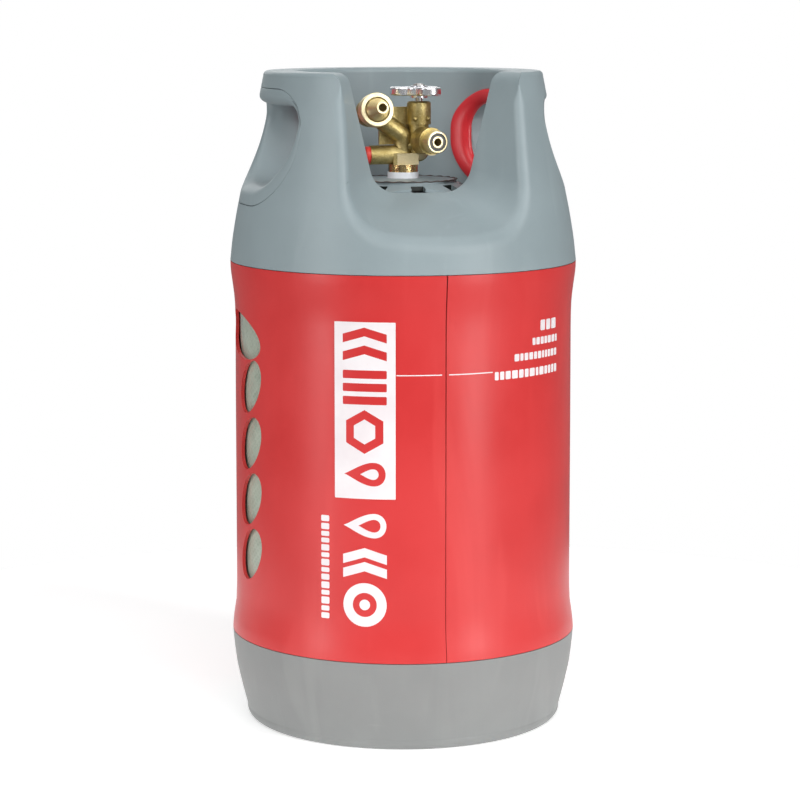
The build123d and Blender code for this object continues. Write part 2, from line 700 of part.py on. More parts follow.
# Valve body
ring_radius, ring_top = COLLAR_RING
fill_way_radius, fill_way_top = FILL_WAY
vapour_radius, vapour_x, vapour_top = VAPOUR_WAY
relief_way_radius, relief_way_x = RELIEF_WAY
bridge_radius, bridge_z = BRIDGE
outlet_radius, outlet_start, outlet_end = OUTLET_BODY
socket_radius, socket_start = OUTLET_SOCKET
fill_body_radius, fill_body_start, fill_body_end = FILL_BODY
spigot_radius, spigot_start = FILL_SPIGOT
chamber_radius, chamber_start = FILL_CHAMBER
with BuildPart() as valve_body:
    add(rod(Plane.XY, STEM_RADIUS, STEM_BOTTOM, ring_top))
    add(rod(Plane.XY, ring_radius, WASHER_TOP, ring_top))
    with Locations(Location((BLOCK_CENTRE, 0, ring_top), (0, 0, BLOCK_TURN))):
        Box(BLOCK_SIDE, BLOCK_SIDE, BLOCK_TOP - ring_top, align=CENTRE_UP)
    fillet(valve_body.edges(Select.LAST).filter_by(Axis.Z), BLOCK_EDGE)
    add(rod(Plane.XY, COLUMN_RADIUS, ring_top, COLUMN_TOP))
    add(rod(relief_plane, RELIEF_RADIUS, RELIEF_END, 0))
    add(bent_rod(arm_path, ARM_RADIUS))
    add(rod(fill_plane, fill_body_radius, fill_body_start, fill_body_end))
    fillet(valve_body.edges(Select.LAST).sort_by(Axis.Y)[-1], FILL_BODY_ROUND)
    add(rod(tower_plane, TOWER_RADIUS, TOWER_BOTTOM, TOWER_TOP))
    with Locations((TOWER_X, TOWER_Y, TOWER_BOTTOM)):
        Sphere(TOWER_RADIUS)
    bridge_plane = Plane(origin=(0, 0, bridge_z), z_dir=(TOWER_X, TOWER_Y, 0))
    add(rod(bridge_plane, bridge_radius, 0, TOWER_X))
    add(rod(outlet_plane, TOWER_RADIUS, 0, outlet_start + OUTLET_BODY_EDGE))
    add(rod(outlet_plane, outlet_radius, outlet_start, outlet_end))
    fillet(valve_body.edges(Select.LAST).sort_by(Axis.Y)[-1], OUTLET_BODY_EDGE)
    with Locations(PLATE_CENTRE):
        Box(*PLATE)
    add(rod(Plane.XY, fill_way_radius, STEM_BOTTOM, fill_way_top), mode=Mode.SUBTRACT)
    with Locations((vapour_x, 0, STEM_BOTTOM)):
        Cylinder(
            vapour_radius, vapour_top - STEM_BOTTOM, align=CENTRE_UP, mode=Mode.SUBTRACT
        )
    with Locations((relief_way_x, 0, STEM_BOTTOM)):
        Cylinder(
            relief_way_radius, RELIEF_Z - STEM_BOTTOM, align=CENTRE_UP, mode=Mode.SUBTRACT
        )
    add(rod(relief_plane, RELIEF_BORE, RELIEF_END, RELIEF_BORE_END), mode=Mode.SUBTRACT)
    add(rod(relief_plane, RELIEF_ORIFICE, RELIEF_BORE_END, relief_way_x), mode=Mode.SUBTRACT)
    add(
        rod(Plane(origin=(0, 0, VAPOUR_TURN_Z), z_dir=(TOWER_X, TOWER_Y, 0)),
            vapour_radius, vapour_x, TOWER_X),
        mode=Mode.SUBTRACT,
    )
    add(rod(tower_plane, SEAT_BORE, VAPOUR_TURN_Z, SEAT_Z), mode=Mode.SUBTRACT)
    add(rod(tower_plane, PLUG_BORE, SEAT_Z, TOWER_TOP), mode=Mode.SUBTRACT)
    add(rod(outlet_plane, OUTLET_BORE, 0, socket_start), mode=Mode.SUBTRACT)
    add(rod(outlet_plane, socket_radius, socket_start, outlet_end), mode=Mode.SUBTRACT)
    add(rod(fill_plane, spigot_radius, spigot_start, fill_body_end), mode=Mode.SUBTRACT)
    add(rod(fill_plane, chamber_radius, chamber_start, spigot_start), mode=Mode.SUBTRACT)
    add(bent_rod(arm_path, ARM_BORE), mode=Mode.SUBTRACT)

with BuildPart() as neck_washer:
    add(tube(WASHER_RADIUS, STEM_RADIUS, BOSS_TOP, WASHER_TOP))
with BuildPart() as neck_o_ring:
    with Locations((0, 0, NECK_RING_Z)):
        Torus(STEM_RADIUS + NECK_RING_TUBE, NECK_RING_TUBE)

# Shut-off: bonnet, seal, spindle, plug, disc, wheel and nut
pocket_radius, pocket_bottom, pocket_top = FLANGE_POCKET
gland_radius, gland_bottom, gland_top = GLAND_POCKET
pin_radius, pin_circle, pin_z, pin_turn = BONNET_PIN
with BuildPart() as bonnet:
    add(rod(tower_plane, BONNET_RADIUS, BONNET_BOTTOM, BONNET_TOP))
    chamfer(bonnet.edges().sort_by(Axis.Z)[-1], BONNET_CHAMFER)
    for turn in (-pin_turn, pin_turn):
        pin_x = TOWER_X + pin_circle * sin(radians(turn))
        pin_y = TOWER_Y - pin_circle * cos(radians(turn))
        with Locations((pin_x, pin_y, pin_z)):
            Sphere(pin_radius)
    add(rod(tower_plane, TOWER_RADIUS, BONNET_BOTTOM, TOWER_TOP), mode=Mode.SUBTRACT)
    add(rod(tower_plane, pocket_radius, pocket_bottom, pocket_top), mode=Mode.SUBTRACT)
    add(rod(tower_plane, gland_radius, gland_bottom, gland_top), mode=Mode.SUBTRACT)
    add(
        rod(tower_plane, SPINDLE_RADIUS + SPINDLE_FIT, TOWER_TOP, BONNET_TOP),
        mode=Mode.SUBTRACT,
    )
with BuildPart() as gland_o_ring:
    ring_circle, ring_tube = GLAND_SEAL
    with Locations((TOWER_X, TOWER_Y, (gland_bottom + gland_top) / 2)):
        Torus(ring_circle, ring_tube)
tip_radius, tip_bottom = SPINDLE_TIP
flange_r, flange_low, flange_high = SPINDLE_FLANGE
with BuildPart() as spindle:
    add(rod(tower_plane, tip_radius, tip_bottom, SPINDLE_SHOULDER))
    add(rod(tower_plane, SPINDLE_RADIUS, SPINDLE_SHOULDER, SPINDLE_TOP))
    add(rod(tower_plane, flange_r, flange_low, flange_high))
plug_radius, plug_bottom, plug_top = SHUTOFF_PLUG
disc_radius, disc_bottom = SEAT_DISC
with BuildPart() as valve_plug:
    add(rod(tower_plane, plug_radius, plug_bottom, plug_top))
    add(rod(tower_plane, disc_radius, plug_bottom, DISC_POCKET_TOP), mode=Mode.SUBTRACT)
    add(rod(tower_plane, PLUG_THREAD_BORE, PLUG_THREAD_DEPTH, plug_top), mode=Mode.SUBTRACT)
with BuildPart() as plug_seat_disc:
    add(rod(tower_plane, disc_radius, disc_bottom, DISC_POCKET_TOP))
hub_radius, hub_bottom, hub_top = WHEEL_HUB
wheel_plane = Plane(origin=(TOWER_X, TOWER_Y, WHEEL_BOTTOM))
with BuildPart() as handwheel:
    with BuildSketch(wheel_plane):
        Circle(WHEEL_CORE)
        with PolarLocations(WHEEL_LOBE_CIRCLE, WHEEL_LOBES, start_angle=WHEEL_TURN):
            Circle(WHEEL_LOBE_RADIUS)
    extrude(amount=WHEEL_TOP - WHEEL_BOTTOM)
    fillet(handwheel.edges().filter_by(Axis.Z), WHEEL_VALLEY)
    fillet(handwheel.edges().group_by(Axis.Z)[-1], WHEEL_EDGE)
    fillet(handwheel.edges().group_by(Axis.Z)[0], WHEEL_EDGE)
    add(rod(tower_plane, hub_radius, hub_bottom, hub_top))
    add(rod(tower_plane, SPINDLE_RADIUS, hub_bottom, hub_top), mode=Mode.SUBTRACT)
with BuildPart() as handwheel_nut:
    with BuildSketch(Plane(origin=(TOWER_X, TOWER_Y, hub_top))):
        RegularPolygon(NUT_RADIUS, 6)
        Circle(SPINDLE_RADIUS, mode=Mode.SUBTRACT)
    extrude(amount=NUT_TOP - hub_top)

# Outlet union and its sealing ring
union_radius, union_end = OUTLET_UNION
recess_outer, recess_inner, recess_start = OUTLET_RECESS
with BuildPart() as outlet_union:
    add(rod(outlet_plane, socket_radius, socket_start, outlet_end))
    add(rod(outlet_plane, union_radius, outlet_end, union_end))
    chamfer(outlet_union.edges().sort_by(Axis.Y)[0], UNION_EDGE)
    with BuildSketch(outlet_plane.offset(recess_start)):
        Circle(recess_outer)
        Circle(recess_inner, mode=Mode.SUBTRACT)
    extrude(amount=union_end - recess_start, mode=Mode.SUBTRACT)
    add(rod(outlet_plane, OUTLET_BORE, socket_start, union_end), mode=Mode.SUBTRACT)
with BuildPart() as outlet_seal:
    with BuildSketch(outlet_plane.offset(recess_start)):
        Circle(recess_outer)
        Circle(recess_inner, mode=Mode.SUBTRACT)
    extrude(amount=OUTLET_SEAL_FACE - recess_start)

# Filler cup, nozzle, non-return poppet and its spring
cup_radius, cup_start = FILL_CUP
recess_radius, recess_depth = FILL_CUP_RECESS
with BuildPart() as fill_connector:
    add(rod(fill_plane, spigot_radius, spigot_start, cup_start))
    add(rod(fill_plane, cup_radius, cup_start, 0))
    fillet(fill_connector.edges().sort_by(Axis.Y)[0], FILL_CUP_EDGE)
    add(rod(fill_plane, recess_radius, recess_depth, 0), mode=Mode.SUBTRACT)
    add(rod(fill_plane, FILL_GUIDE_BORE, spigot_start, recess_depth), mode=Mode.SUBTRACT)
nozzle_plane = Plane(origin=FILL_FACE, x_dir=(-fill_y, fill_x, 0), z_dir=fill_plane.y_dir)
nozzle_root = FILL_NOZZLE_OUTLINE[0][1]
nozzle_tip = FILL_NOZZLE_OUTLINE[-1][1]
with BuildPart() as fill_nozzle:
    with BuildSketch(nozzle_plane):
        with BuildLine():
            Spline(*[(radius, -distance) for radius, distance in FILL_NOZZLE_OUTLINE])
            Polyline(
                (FILL_NOZZLE_OUTLINE[-1][0], -nozzle_tip), (FILL_GUIDE_BORE, -nozzle_tip),
                (FILL_GUIDE_BORE, -nozzle_root), (FILL_NOZZLE_OUTLINE[0][0], -nozzle_root),
            )
        make_face()
    revolve(axis=Axis(FILL_FACE, fill_axis))
head_radius, head_start, head_end = POPPET_HEAD
cone_radius, cone_end = POPPET_CONE
poppet_stem_radius, poppet_stem_end = POPPET_STEM
with BuildPart() as fill_check_poppet:
    add(rod(fill_plane, head_radius, head_start, head_end))
    add(rod(fill_plane, cone_radius, head_end, cone_end))
    add(rod(fill_plane, poppet_stem_radius, cone_end, poppet_stem_end))
with BuildPart() as fill_check_spring:
    add(coil(fill_plane, FILL_SPRING))

# Pressure relief: disc, spring, adjuster and dust cap
adjuster_start, adjuster_end, adjuster_bore = RELIEF_ADJUSTER
cap_radius, cap_start, cap_end = RELIEF_CAP
cap_spigot_radius, cap_spigot_end = RELIEF_CAP_SPIGOT
disc_r, disc_start, disc_end = RELIEF_DISC
with BuildPart() as relief_disc:
    add(rod(relief_plane, disc_r, disc_start, disc_end))
with BuildPart() as relief_spring:
    add(coil(relief_plane, RELIEF_SPRING))
with BuildPart() as relief_adjuster:
    add(rod(relief_plane, RELIEF_BORE, adjuster_start, adjuster_end))
    add(rod(relief_plane, adjuster_bore, adjuster_start, adjuster_end), mode=Mode.SUBTRACT)
with BuildPart() as relief_cap:
    add(rod(relief_plane, cap_radius, cap_start, cap_end))
    fillet(relief_cap.edges().sort_by(Axis.X)[0], RELIEF_CAP_ROUND)
    add(rod(relief_plane, cap_spigot_radius, cap_end, cap_spigot_end))

# Fill stop: housing, piston, arm, pin and float
housing_radius, housing_bottom, housing_top = HOUSING
neck_radius, neck_top = HOUSING_NECK
housing_spigot_radius, housing_spigot_top = HOUSING_SPIGOT
bore_radius, bore_top = HOUSING_BORE
port_radius, port_z = HOUSING_PORT
fork_width, fork_top = HOUSING_FORK
with BuildPart() as stop_housing:
    add(rod(Plane.XY, housing_radius, housing_bottom, housing_top))
    add(rod(Plane.XY, neck_radius, housing_top, neck_top))
    add(rod(Plane.XY, housing_spigot_radius, neck_top, housing_spigot_top))
    add(
        rod(Plane.XY, HOUSING_PASSAGE, bore_top, housing_spigot_top), mode=Mode.SUBTRACT
    )
    add(rod(Plane.XY, bore_radius, fork_top, bore_top), mode=Mode.SUBTRACT)
    with Locations((0, 0, (housing_bottom + fork_top) / 2)):
        Box(4 * housing_radius, fork_width, fork_top - housing_bottom, mode=Mode.SUBTRACT)
    port_plane = Plane(origin=(0, 0, port_z), z_dir=(1, 0, 0))
    add(rod(port_plane, port_radius, -housing_radius, housing_radius), mode=Mode.SUBTRACT)
    pivot_plane = Plane(origin=(0, 0, PIVOT_Z), z_dir=(0, 1, 0))
    add(rod(pivot_plane, PIN_RADIUS, -housing_radius, housing_radius), mode=Mode.SUBTRACT)
piston_radius, piston_bottom, piston_top = PISTON
piston_stem_radius, piston_stem_bottom = PISTON_STEM
with BuildPart() as stop_piston:
    add(rod(Plane.XY, piston_radius, piston_bottom, piston_top))
    add(rod(Plane.XY, piston_stem_radius, piston_stem_bottom, piston_bottom))
with BuildPart() as float_pin:
    add(rod(pivot_plane, PIN_RADIUS, -PIN_HALF_LENGTH, PIN_HALF_LENGTH))
arm_width, arm_depth, arm_bottom = FLOAT_ARM
float_rod_radius, float_rod_bottom = FLOAT_ROD
with BuildPart() as float_arm:
    add(rod(pivot_plane, FLOAT_ARM_EYE, -arm_width / 2, arm_width / 2))
    with Locations((0, 0, (arm_bottom + PIVOT_Z) / 2)):
        Box(arm_depth, arm_width, PIVOT_Z - arm_bottom)
    add(rod(Plane.XY, float_rod_radius, float_rod_bottom, arm_bottom))
    add(
        rod(pivot_plane, PIN_RADIUS + PIN_FIT, -arm_width, arm_width), mode=Mode.SUBTRACT
    )
float_radius, float_bottom, float_top = FLOAT_SIZE
with BuildPart() as float_body:
    add(rod(Plane.XY, float_radius, float_bottom, float_top))
    fillet(float_body.edges().filter_by(GeomType.CIRCLE), FLOAT_ROUND)
    add(rod(Plane.XY, float_rod_radius, float_rod_bottom, float_top), mode=Mode.SUBTRACT)

NAMED_PARTS = [
    ("top_casing", top_casing),
    ("handle_insert_left", handle_insert_left),
    ("handle_insert_right", handle_insert_right),
    ("grip_ring_left", grip_ring_left),
    ("grip_ring_right", grip_ring_right),
    ("neck_collar", neck_collar),
    ("sleeve", sleeve),
    ("base_casing", base_casing),
    ("composite_shell", composite_shell),
    ("liner", liner),
    ("neck_boss", neck_boss),
    ("boss_seal", boss_seal),
    ("base_plug", base_plug),
    ("valve_body", valve_body),
    ("neck_washer", neck_washer),
    ("neck_o_ring", neck_o_ring),
    ("bonnet", bonnet),
    ("gland_o_ring", gland_o_ring),
    ("spindle", spindle),
    ("valve_plug", valve_plug),
    ("plug_seat_disc", plug_seat_disc),
    ("handwheel", handwheel),
    ("handwheel_nut", handwheel_nut),
    ("outlet_union", outlet_union),
    ("outlet_seal", outlet_seal),
    ("fill_connector", fill_connector),
    ("fill_nozzle", fill_nozzle),
    ("fill_check_poppet", fill_check_poppet),
    ("fill_check_spring", fill_check_spring),
    ("relief_disc", relief_disc),
    ("relief_spring", relief_spring),
    ("relief_adjuster", relief_adjuster),
    ("relief_cap", relief_cap),
    ("stop_housing", stop_housing),
    ("stop_piston", stop_piston),
    ("float_pin", float_pin),
    ("float_arm", float_arm),
    ("float", float_body),
]
for part_name, builder in NAMED_PARTS:
    builder.part.label = part_name
    export_step(builder.part, f"parts/{part_name}.step")
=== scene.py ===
"""Looks, fine shapes, lights and camera for the refillable composite gas cylinder.

Metres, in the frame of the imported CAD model. Outlines are written in millimetres and scaled by MM.
"""

import random
from math import cos, pi, radians, sin, sqrt

import bmesh
import bpy
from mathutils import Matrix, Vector
from mathutils.bvhtree import BVHTree
from mathutils.interpolate import poly_3d_calc


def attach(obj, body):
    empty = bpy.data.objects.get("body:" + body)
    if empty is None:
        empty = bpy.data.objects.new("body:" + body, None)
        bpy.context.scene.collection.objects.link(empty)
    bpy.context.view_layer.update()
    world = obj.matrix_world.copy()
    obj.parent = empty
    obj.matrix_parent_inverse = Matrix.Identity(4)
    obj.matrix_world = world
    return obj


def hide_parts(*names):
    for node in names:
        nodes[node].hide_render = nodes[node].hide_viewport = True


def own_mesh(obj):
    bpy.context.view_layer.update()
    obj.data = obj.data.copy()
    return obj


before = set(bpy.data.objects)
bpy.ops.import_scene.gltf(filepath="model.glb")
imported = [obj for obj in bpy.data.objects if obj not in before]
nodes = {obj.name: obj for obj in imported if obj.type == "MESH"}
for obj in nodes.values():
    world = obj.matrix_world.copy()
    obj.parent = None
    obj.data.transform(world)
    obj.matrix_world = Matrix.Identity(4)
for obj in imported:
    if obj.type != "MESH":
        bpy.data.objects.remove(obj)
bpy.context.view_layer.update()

MM = 0.001
random.seed(7)

# Camera
CAMERA_PLACE = (-0.5724, -2.2957, 0.636)
CAMERA_LOOK = (0.2393, 0.9596, -0.1478)
CAMERA_LENS = 120.9
CAMERA_SHIFT = -0.004

# Lighting levels
AMBIENT = 0.05
REFLECTED = 0.26
FLOOR_GLOW = 0.45
FLOOR_RADIUS = 0.75
FLOOR_SIDES = 96

# Lights: name, azimuth and elevation in degrees, distance, size and power
AIM_HEIGHT = 0.3
LIGHTS = [
    ("key_light", 34, 18, 2.6, (0.45, 2.4), 42),
    ("side_light", -68, 16, 2.4, (0.4, 2.2), 23),
    ("front_light", -8, 36, 2.9, (2.0, 1.4), 30),
    ("top_light", 0, 88, 3.2, (3.4, 3.4), 36),
    ("back_light", 176, 24, 2.9, (2.0, 1.6), 16),
]

# Masks of the materials, in millimetres: inner ends of the slots in the chamber floor (painted
# shade), dome of the vessel (painted shade), front face of the valve block (painted light), and neck
# ring under it
SLOT_END_RADIUS = 49.8
SLOT_END_BAND = 0.4
SLOT_END_TOP = 475.7
DOME_SHADE_START = 405.0
DOME_SHADE_END = 425.0
LIT_FACE_FRONT = -7.8
LIT_FACE_LEFT = -7.5
LIT_FACE_TOP = 501.9
NECK_RING_TOP = 492.2

# Windings of the vessel: radius in metres, slope of the strands, and radians of wave per metre
WINDING_RADIUS = 0.144
WINDING_SLOPE = 0.75
FINE_WAVES = 1150.0
BROAD_WAVES = 310.0

# Directions of the two ports: turn to the side, and rise of the filler
OUTLET_TURN = radians(11.0)
FILLER_TURN = radians(2.0)
FILLER_PITCH = radians(8.0)

# Outer wall of the top casing: radius and height at the two ends of its cone
CONE_LOW = (144.6, 460.0)
CONE_HIGH = (122.2, 569.8)

# Outlines of the hand openings: half width, bottom, top, bottom radius, top radius
CORNER_STEPS = 18
STRAIGHT_STEPS = 10
BEZEL = (76.0, 459.5, 560.0, 50.0, 40.0)
APERTURE = (65.5, 476.0, 545.4, 46.0, 18.0)
THROAT = (57.0, 473.5, 543.5, 40.0, 16.0)
GRIP = (61.0, 467.5, 550.0, 42.0, 30.0)


# ---------------------------------------------------------------- node materials

class Recipe:
    """A node material being built, with short calls for the nodes it uses."""

    def __init__(self, name):
        self.material = bpy.data.materials.new(name)
        self.material.use_nodes = True
        self.tree = self.material.node_tree
        self.shader = self.tree.nodes["Principled BSDF"]
        self.place = self.add("ShaderNodeTexCoord").outputs["Object"]

    def add(self, kind, **settings):
        """New node with its settings."""
        made = self.tree.nodes.new(kind)
        for name, value in settings.items():
            setattr(made, name, value)
        return made

    def feed(self, socket, value):
        """Links an output to a socket, or sets the socket to a plain value."""
        if isinstance(value, bpy.types.NodeSocket):
            self.tree.links.new(value, socket)
        else:
            socket.default_value = value

    def fix(self, **values):
        """Sets constant values on the shader's own sockets."""
        for name, value in values.items():
            self.shader.inputs[name.replace("_", " ")].default_value = value

    def stretched(self, scale, turn=(0, 0, 0)):
        """Object coordinates turned and scaled along each axis."""
        mapping = self.add("ShaderNodeMapping")
        self.feed(mapping.inputs["Vector"], self.place)
        mapping.inputs["Rotation"].default_value = turn
        mapping.inputs["Scale"].default_value = scale
        return mapping.outputs["Vector"]

    def noise(self, scale, detail=4.0, rough=0.55, vector=None, distortion=0.0):
        """Fractal noise over the object."""
        made = self.add("ShaderNodeTexNoise")
        self.feed(made.inputs["Vector"], vector or self.place)
        made.inputs["Scale"].default_value = scale
        made.inputs["Detail"].default_value = detail
        made.inputs["Roughness"].default_value = rough
        made.inputs["Distortion"].default_value = distortion
        return made.outputs["Fac"]

    def cells(self, scale):
        """Distance to the nearest of many scattered points."""
        made = self.add("ShaderNodeTexVoronoi")
        self.feed(made.inputs["Vector"], self.place)
        made.inputs["Scale"].default_value = scale
        return made.outputs["Distance"]

    def sums(self, operation, first, second=0.0, third=0.0, clamp=False):
        """One arithmetic step."""
        made = self.add("ShaderNodeMath", operation=operation, use_clamp=clamp)
        for socket, value in zip(made.inputs, (first, second, third)):
            self.feed(socket, value)
        return made.outputs[0]

    def span(self, value, low, high, new_low=0.0, new_high=1.0):
        """Value moved from one range to another, clamped and smooth."""
        made = self.add("ShaderNodeMapRange", interpolation_type="SMOOTHSTEP")
        self.feed(made.inputs["Value"], value)
        made.inputs["From Min"].default_value = low
        made.inputs["From Max"].default_value = high
        made.inputs["To Min"].default_value = new_low
        made.inputs["To Max"].default_value = new_high
        return made.outputs["Result"]

    def blend(self, amount, first, second):
        """Mix of two colours."""
        made = self.add("ShaderNodeMix", data_type="RGBA")
        self.feed(made.inputs["Factor"], amount)
        self.feed(made.inputs["A"], first)
        self.feed(made.inputs["B"], second)
        return made.outputs["Result"]

    def axis(self, name):
        """One of the object coordinates, in metres."""
        made = self.add("ShaderNodeSeparateXYZ")
        self.feed(made.inputs["Vector"], self.place)
        return made.outputs[name]

    def bump(self, layers):
        """Stacks bumps, each a height and a depth in metres, and feeds the shader."""
        normal = None
        for height, depth in layers:
            made = self.add("ShaderNodeBump")
            made.inputs["Distance"].default_value = depth
            made.inputs["Strength"].default_value = 1.0
            self.feed(made.inputs["Height"], height)
            if normal:
                self.feed(made.inputs["Normal"], normal)
            normal = made.outputs["Normal"]
        self.feed(self.shader.inputs["Normal"], normal)


def colour(red, green, blue):
    """Opaque linear colour."""
    return (red, green, blue, 1.0)


# Plastics: main, dark and light colour, roughness, depth of the grain in millimetres, and scuffs
PLASTICS = {
    "casing_blue_grey": (
        (0.298, 0.364, 0.384), (0.27, 0.331, 0.35), (0.35, 0.42, 0.44), 0.46, 0.05, 0.25
    ),
    "casing_neutral_grey": (
        (0.262, 0.27, 0.265), (0.233, 0.24, 0.236), (0.31, 0.318, 0.31), 0.46, 0.05, 0.25
    ),
    "sleeve_red_plastic": (
        (0.66, 0.036, 0.036), (0.61, 0.028, 0.028), (0.72, 0.062, 0.058), 0.38, 0.03, 0.18
    ),
    "grip_red_plastic": (
        (0.84, 0.045, 0.055), (0.74, 0.03, 0.04), (0.9, 0.09, 0.09), 0.36, 0.03, 0.3
    ),
    "cap_red_plastic": (
        (0.72, 0.05, 0.035), (0.6, 0.03, 0.02), (0.8, 0.12, 0.1), 0.4, 0.03, 0.3
    ),
    "washer_white_plastic": (
        (0.86, 0.88, 0.92), (0.78, 0.81, 0.86), (0.92, 0.93, 0.95), 0.38, 0.03, 0.2
    ),
    "stop_pale_plastic": (
        (0.72, 0.72, 0.66), (0.6, 0.6, 0.54), (0.8, 0.8, 0.76), 0.42, 0.04, 0.2
    ),
    "liner_milky_plastic": (
        (0.6, 0.62, 0.55), (0.5, 0.52, 0.46), (0.7, 0.72, 0.66), 0.5, 0.04, 0.1
    ),
    "float_foam_cells": (
        (0.06, 0.06, 0.065), (0.035, 0.035, 0.04), (0.11, 0.11, 0.12), 0.75, 0.16, 0.2
    ),
}


def moulded_plastic(name):
    """Moulded plastic with a fine grain, faint flow marks and light handling scuffs."""
    *tints, roughness, grain, scuffs = PLASTICS[name]
    main, dark, light = (colour(*tint) for tint in tints)
    depth = grain * MM
    recipe = Recipe(name)
    cloud = recipe.noise(9.0, 5.0)
    flow = recipe.noise(3.0, 3.0, vector=recipe.stretched((8.0, 8.0, 1.2)), distortion=0.8)
    fine = recipe.noise(1400.0, 2.0)
    speck = recipe.cells(950.0)
    streak = recipe.noise(22.0, 6.0, 0.7, recipe.stretched((1.0, 1.0, 9.0), (0.3, 0.2, 0.0)))
    scratch = recipe.span(streak, 0.64, 0.74, 0.0, scuffs)
    tone = recipe.blend(recipe.span(cloud, 0.34, 0.68), dark, main)
    tone = recipe.blend(recipe.span(flow, 0.52, 0.72, 0.0, 0.35), tone, light)
    tone = recipe.blend(scratch, tone, light)
    recipe.feed(recipe.shader.inputs["Base Color"], tone)
    gloss = recipe.span(cloud, 0.3, 0.7, roughness - 0.05, roughness + 0.05)
    gloss = recipe.sums("ADD", gloss, recipe.sums("MULTIPLY", scratch, 0.3), clamp=True)
    gloss = recipe.sums("ADD", gloss, recipe.span(fine, 0.3, 0.7, -0.03, 0.03))
    recipe.feed(recipe.shader.inputs["Roughness"], gloss)
    recipe.bump([(fine, depth), (speck, depth * 0.8), (flow, depth * 6.0)])
    recipe.fix(IOR=1.5)
    return recipe


def casing_plastic(name):
    """Casing plastic, with painted shade that makes it almost black on the inner ends of the floor
    slots.
    """
    recipe = moulded_plastic(name)
    x_axis = recipe.axis("X")
    y_axis = recipe.axis("Y")
    squares = recipe.sums("MULTIPLY_ADD", y_axis, y_axis, recipe.sums("POWER", x_axis, 2.0))
    radius = recipe.sums("SQRT", squares)
    low = recipe.sums("LESS_THAN", recipe.axis("Z"), SLOT_END_TOP * MM)
    slot_end_shade = recipe.sums("COMPARE", radius, SLOT_END_RADIUS * MM, SLOT_END_BAND * MM)
    slot_end_shade = recipe.sums("MULTIPLY", slot_end_shade, low)
    base = recipe.shader.inputs["Base Color"]
    tone = base.links[0].from_socket
    # Painted shade: the inner ends of the floor slots are mixed to almost black
    recipe.feed(base, recipe.blend(slot_end_shade, tone, colour(0.008, 0.012, 0.01)))
    return recipe.material


def sleeve_plastic():
    """Red satin plastic of the sleeve, with a thin clear coat."""
    recipe = moulded_plastic("sleeve_red_plastic")
    recipe.fix(Coat_Weight=0.18, Coat_Roughness=0.32)
    return recipe.material


def wound_composite():
    """Pale resin wall wound with crossed glass strands, with painted shade that turns the dome
    almost black.
    """
    recipe = Recipe("wound_glass_composite")
    backwards = recipe.sums("MULTIPLY", recipe.axis("Y"), -1.0)
    around = recipe.sums("ARCTAN2", recipe.axis("X"), backwards)
    arc = recipe.sums("MULTIPLY", around, WINDING_RADIUS)
    height = recipe.axis("Z")
    wander = recipe.sums("MULTIPLY", recipe.noise(14.0, 2.0), 0.012)
    strands = []
    for lean in (WINDING_SLOPE, -WINDING_SLOPE):
        slope = recipe.sums("MULTIPLY_ADD", arc, lean, height)
        line = recipe.sums("ADD", slope, wander)
        strands.append(recipe.sums("SINE", recipe.sums("MULTIPLY", line, FINE_WAVES)))
        strands.append(recipe.sums("SINE", recipe.sums("MULTIPLY", line, BROAD_WAVES)))
    fine = recipe.sums("MAXIMUM", strands[0], strands[2])
    broad = recipe.sums("MAXIMUM", strands[1], strands[3])
    cloud = recipe.noise(30.0, 5.0)
    tone = recipe.blend(
        recipe.span(cloud, 0.3, 0.7), colour(0.33, 0.39, 0.31), colour(0.43, 0.49, 0.395)
    )
    tone = recipe.blend(recipe.span(broad, 0.2, 1.0, 0.0, 0.3), tone, colour(0.47, 0.53, 0.44))
    tone = recipe.blend(recipe.span(fine, 0.5, 1.0, 0.0, 0.25), tone, colour(0.55, 0.6, 0.51))
    # Painted shade: the dome above this height is mixed to almost black
    dome_shade = recipe.span(height, DOME_SHADE_START * MM, DOME_SHADE_END * MM, 0.0, 0.94)
    tone = recipe.blend(dome_shade, tone, colour(0.012, 0.02, 0.014))
    recipe.feed(recipe.shader.inputs["Base Color"], tone)
    recipe.feed(recipe.shader.inputs["Roughness"], recipe.span(cloud, 0.3, 0.7, 0.22, 0.4))
    recipe.bump([(broad, 0.15 * MM), (fine, 0.08 * MM)])
    recipe.fix(IOR=1.52, Coat_Weight=0.25, Coat_Roughness=0.25)
    return recipe.material


# Metals: bright and dull colour, roughness, depth of the grain in millimetres, and lathe lines
METALS = {
    "turned_brass": ((0.95, 0.84, 0.55), (0.82, 0.7, 0.4), 0.36, 0.004, (60.0, 3200.0, 60.0)),
    "polished_chrome": ((0.93, 0.93, 0.94), (0.82, 0.82, 0.85), 0.2, 0.006, None),
    "bright_steel": ((0.68, 0.67, 0.65), (0.45, 0.44, 0.42), 0.28, 0.02, (80.0, 80.0, 2600.0)),
    "turned_alloy": ((0.74, 0.74, 0.72), (0.55, 0.55, 0.54), 0.3, 0.02, (80.0, 80.0, 2600.0)),
}


def metal(kind, part="", turn=(0, 0, 0)):
    """Bare metal with stains, fine grain and, if it was turned, lathe lines across one direction."""
    *tints, roughness, grain, line_scale = METALS[kind]
    bright, dull = (colour(*tint) for tint in tints)
    depth = grain * MM
    recipe = Recipe(kind + part)
    stain = recipe.noise(70.0, 6.0, 0.65)
    fine = recipe.noise(1500.0, 3.0)
    tone = recipe.blend(recipe.span(stain, 0.36, 0.66), dull, bright)
    recipe.feed(recipe.shader.inputs["Base Color"], tone)
    gloss = recipe.span(stain, 0.35, 0.7, roughness + 0.1, roughness - 0.02)
    gloss = recipe.sums("ADD", gloss, recipe.span(fine, 0.3, 0.7, -0.03, 0.03), clamp=True)
    recipe.feed(recipe.shader.inputs["Roughness"], gloss)
    layers = [(fine, depth)]
    if line_scale:
        lines = recipe.noise(1.0, 2.0, 0.6, recipe.stretched(line_scale, turn))
        layers.append((lines, depth))
    recipe.bump(layers)
    recipe.fix(Metallic=1.0)
    return recipe.material


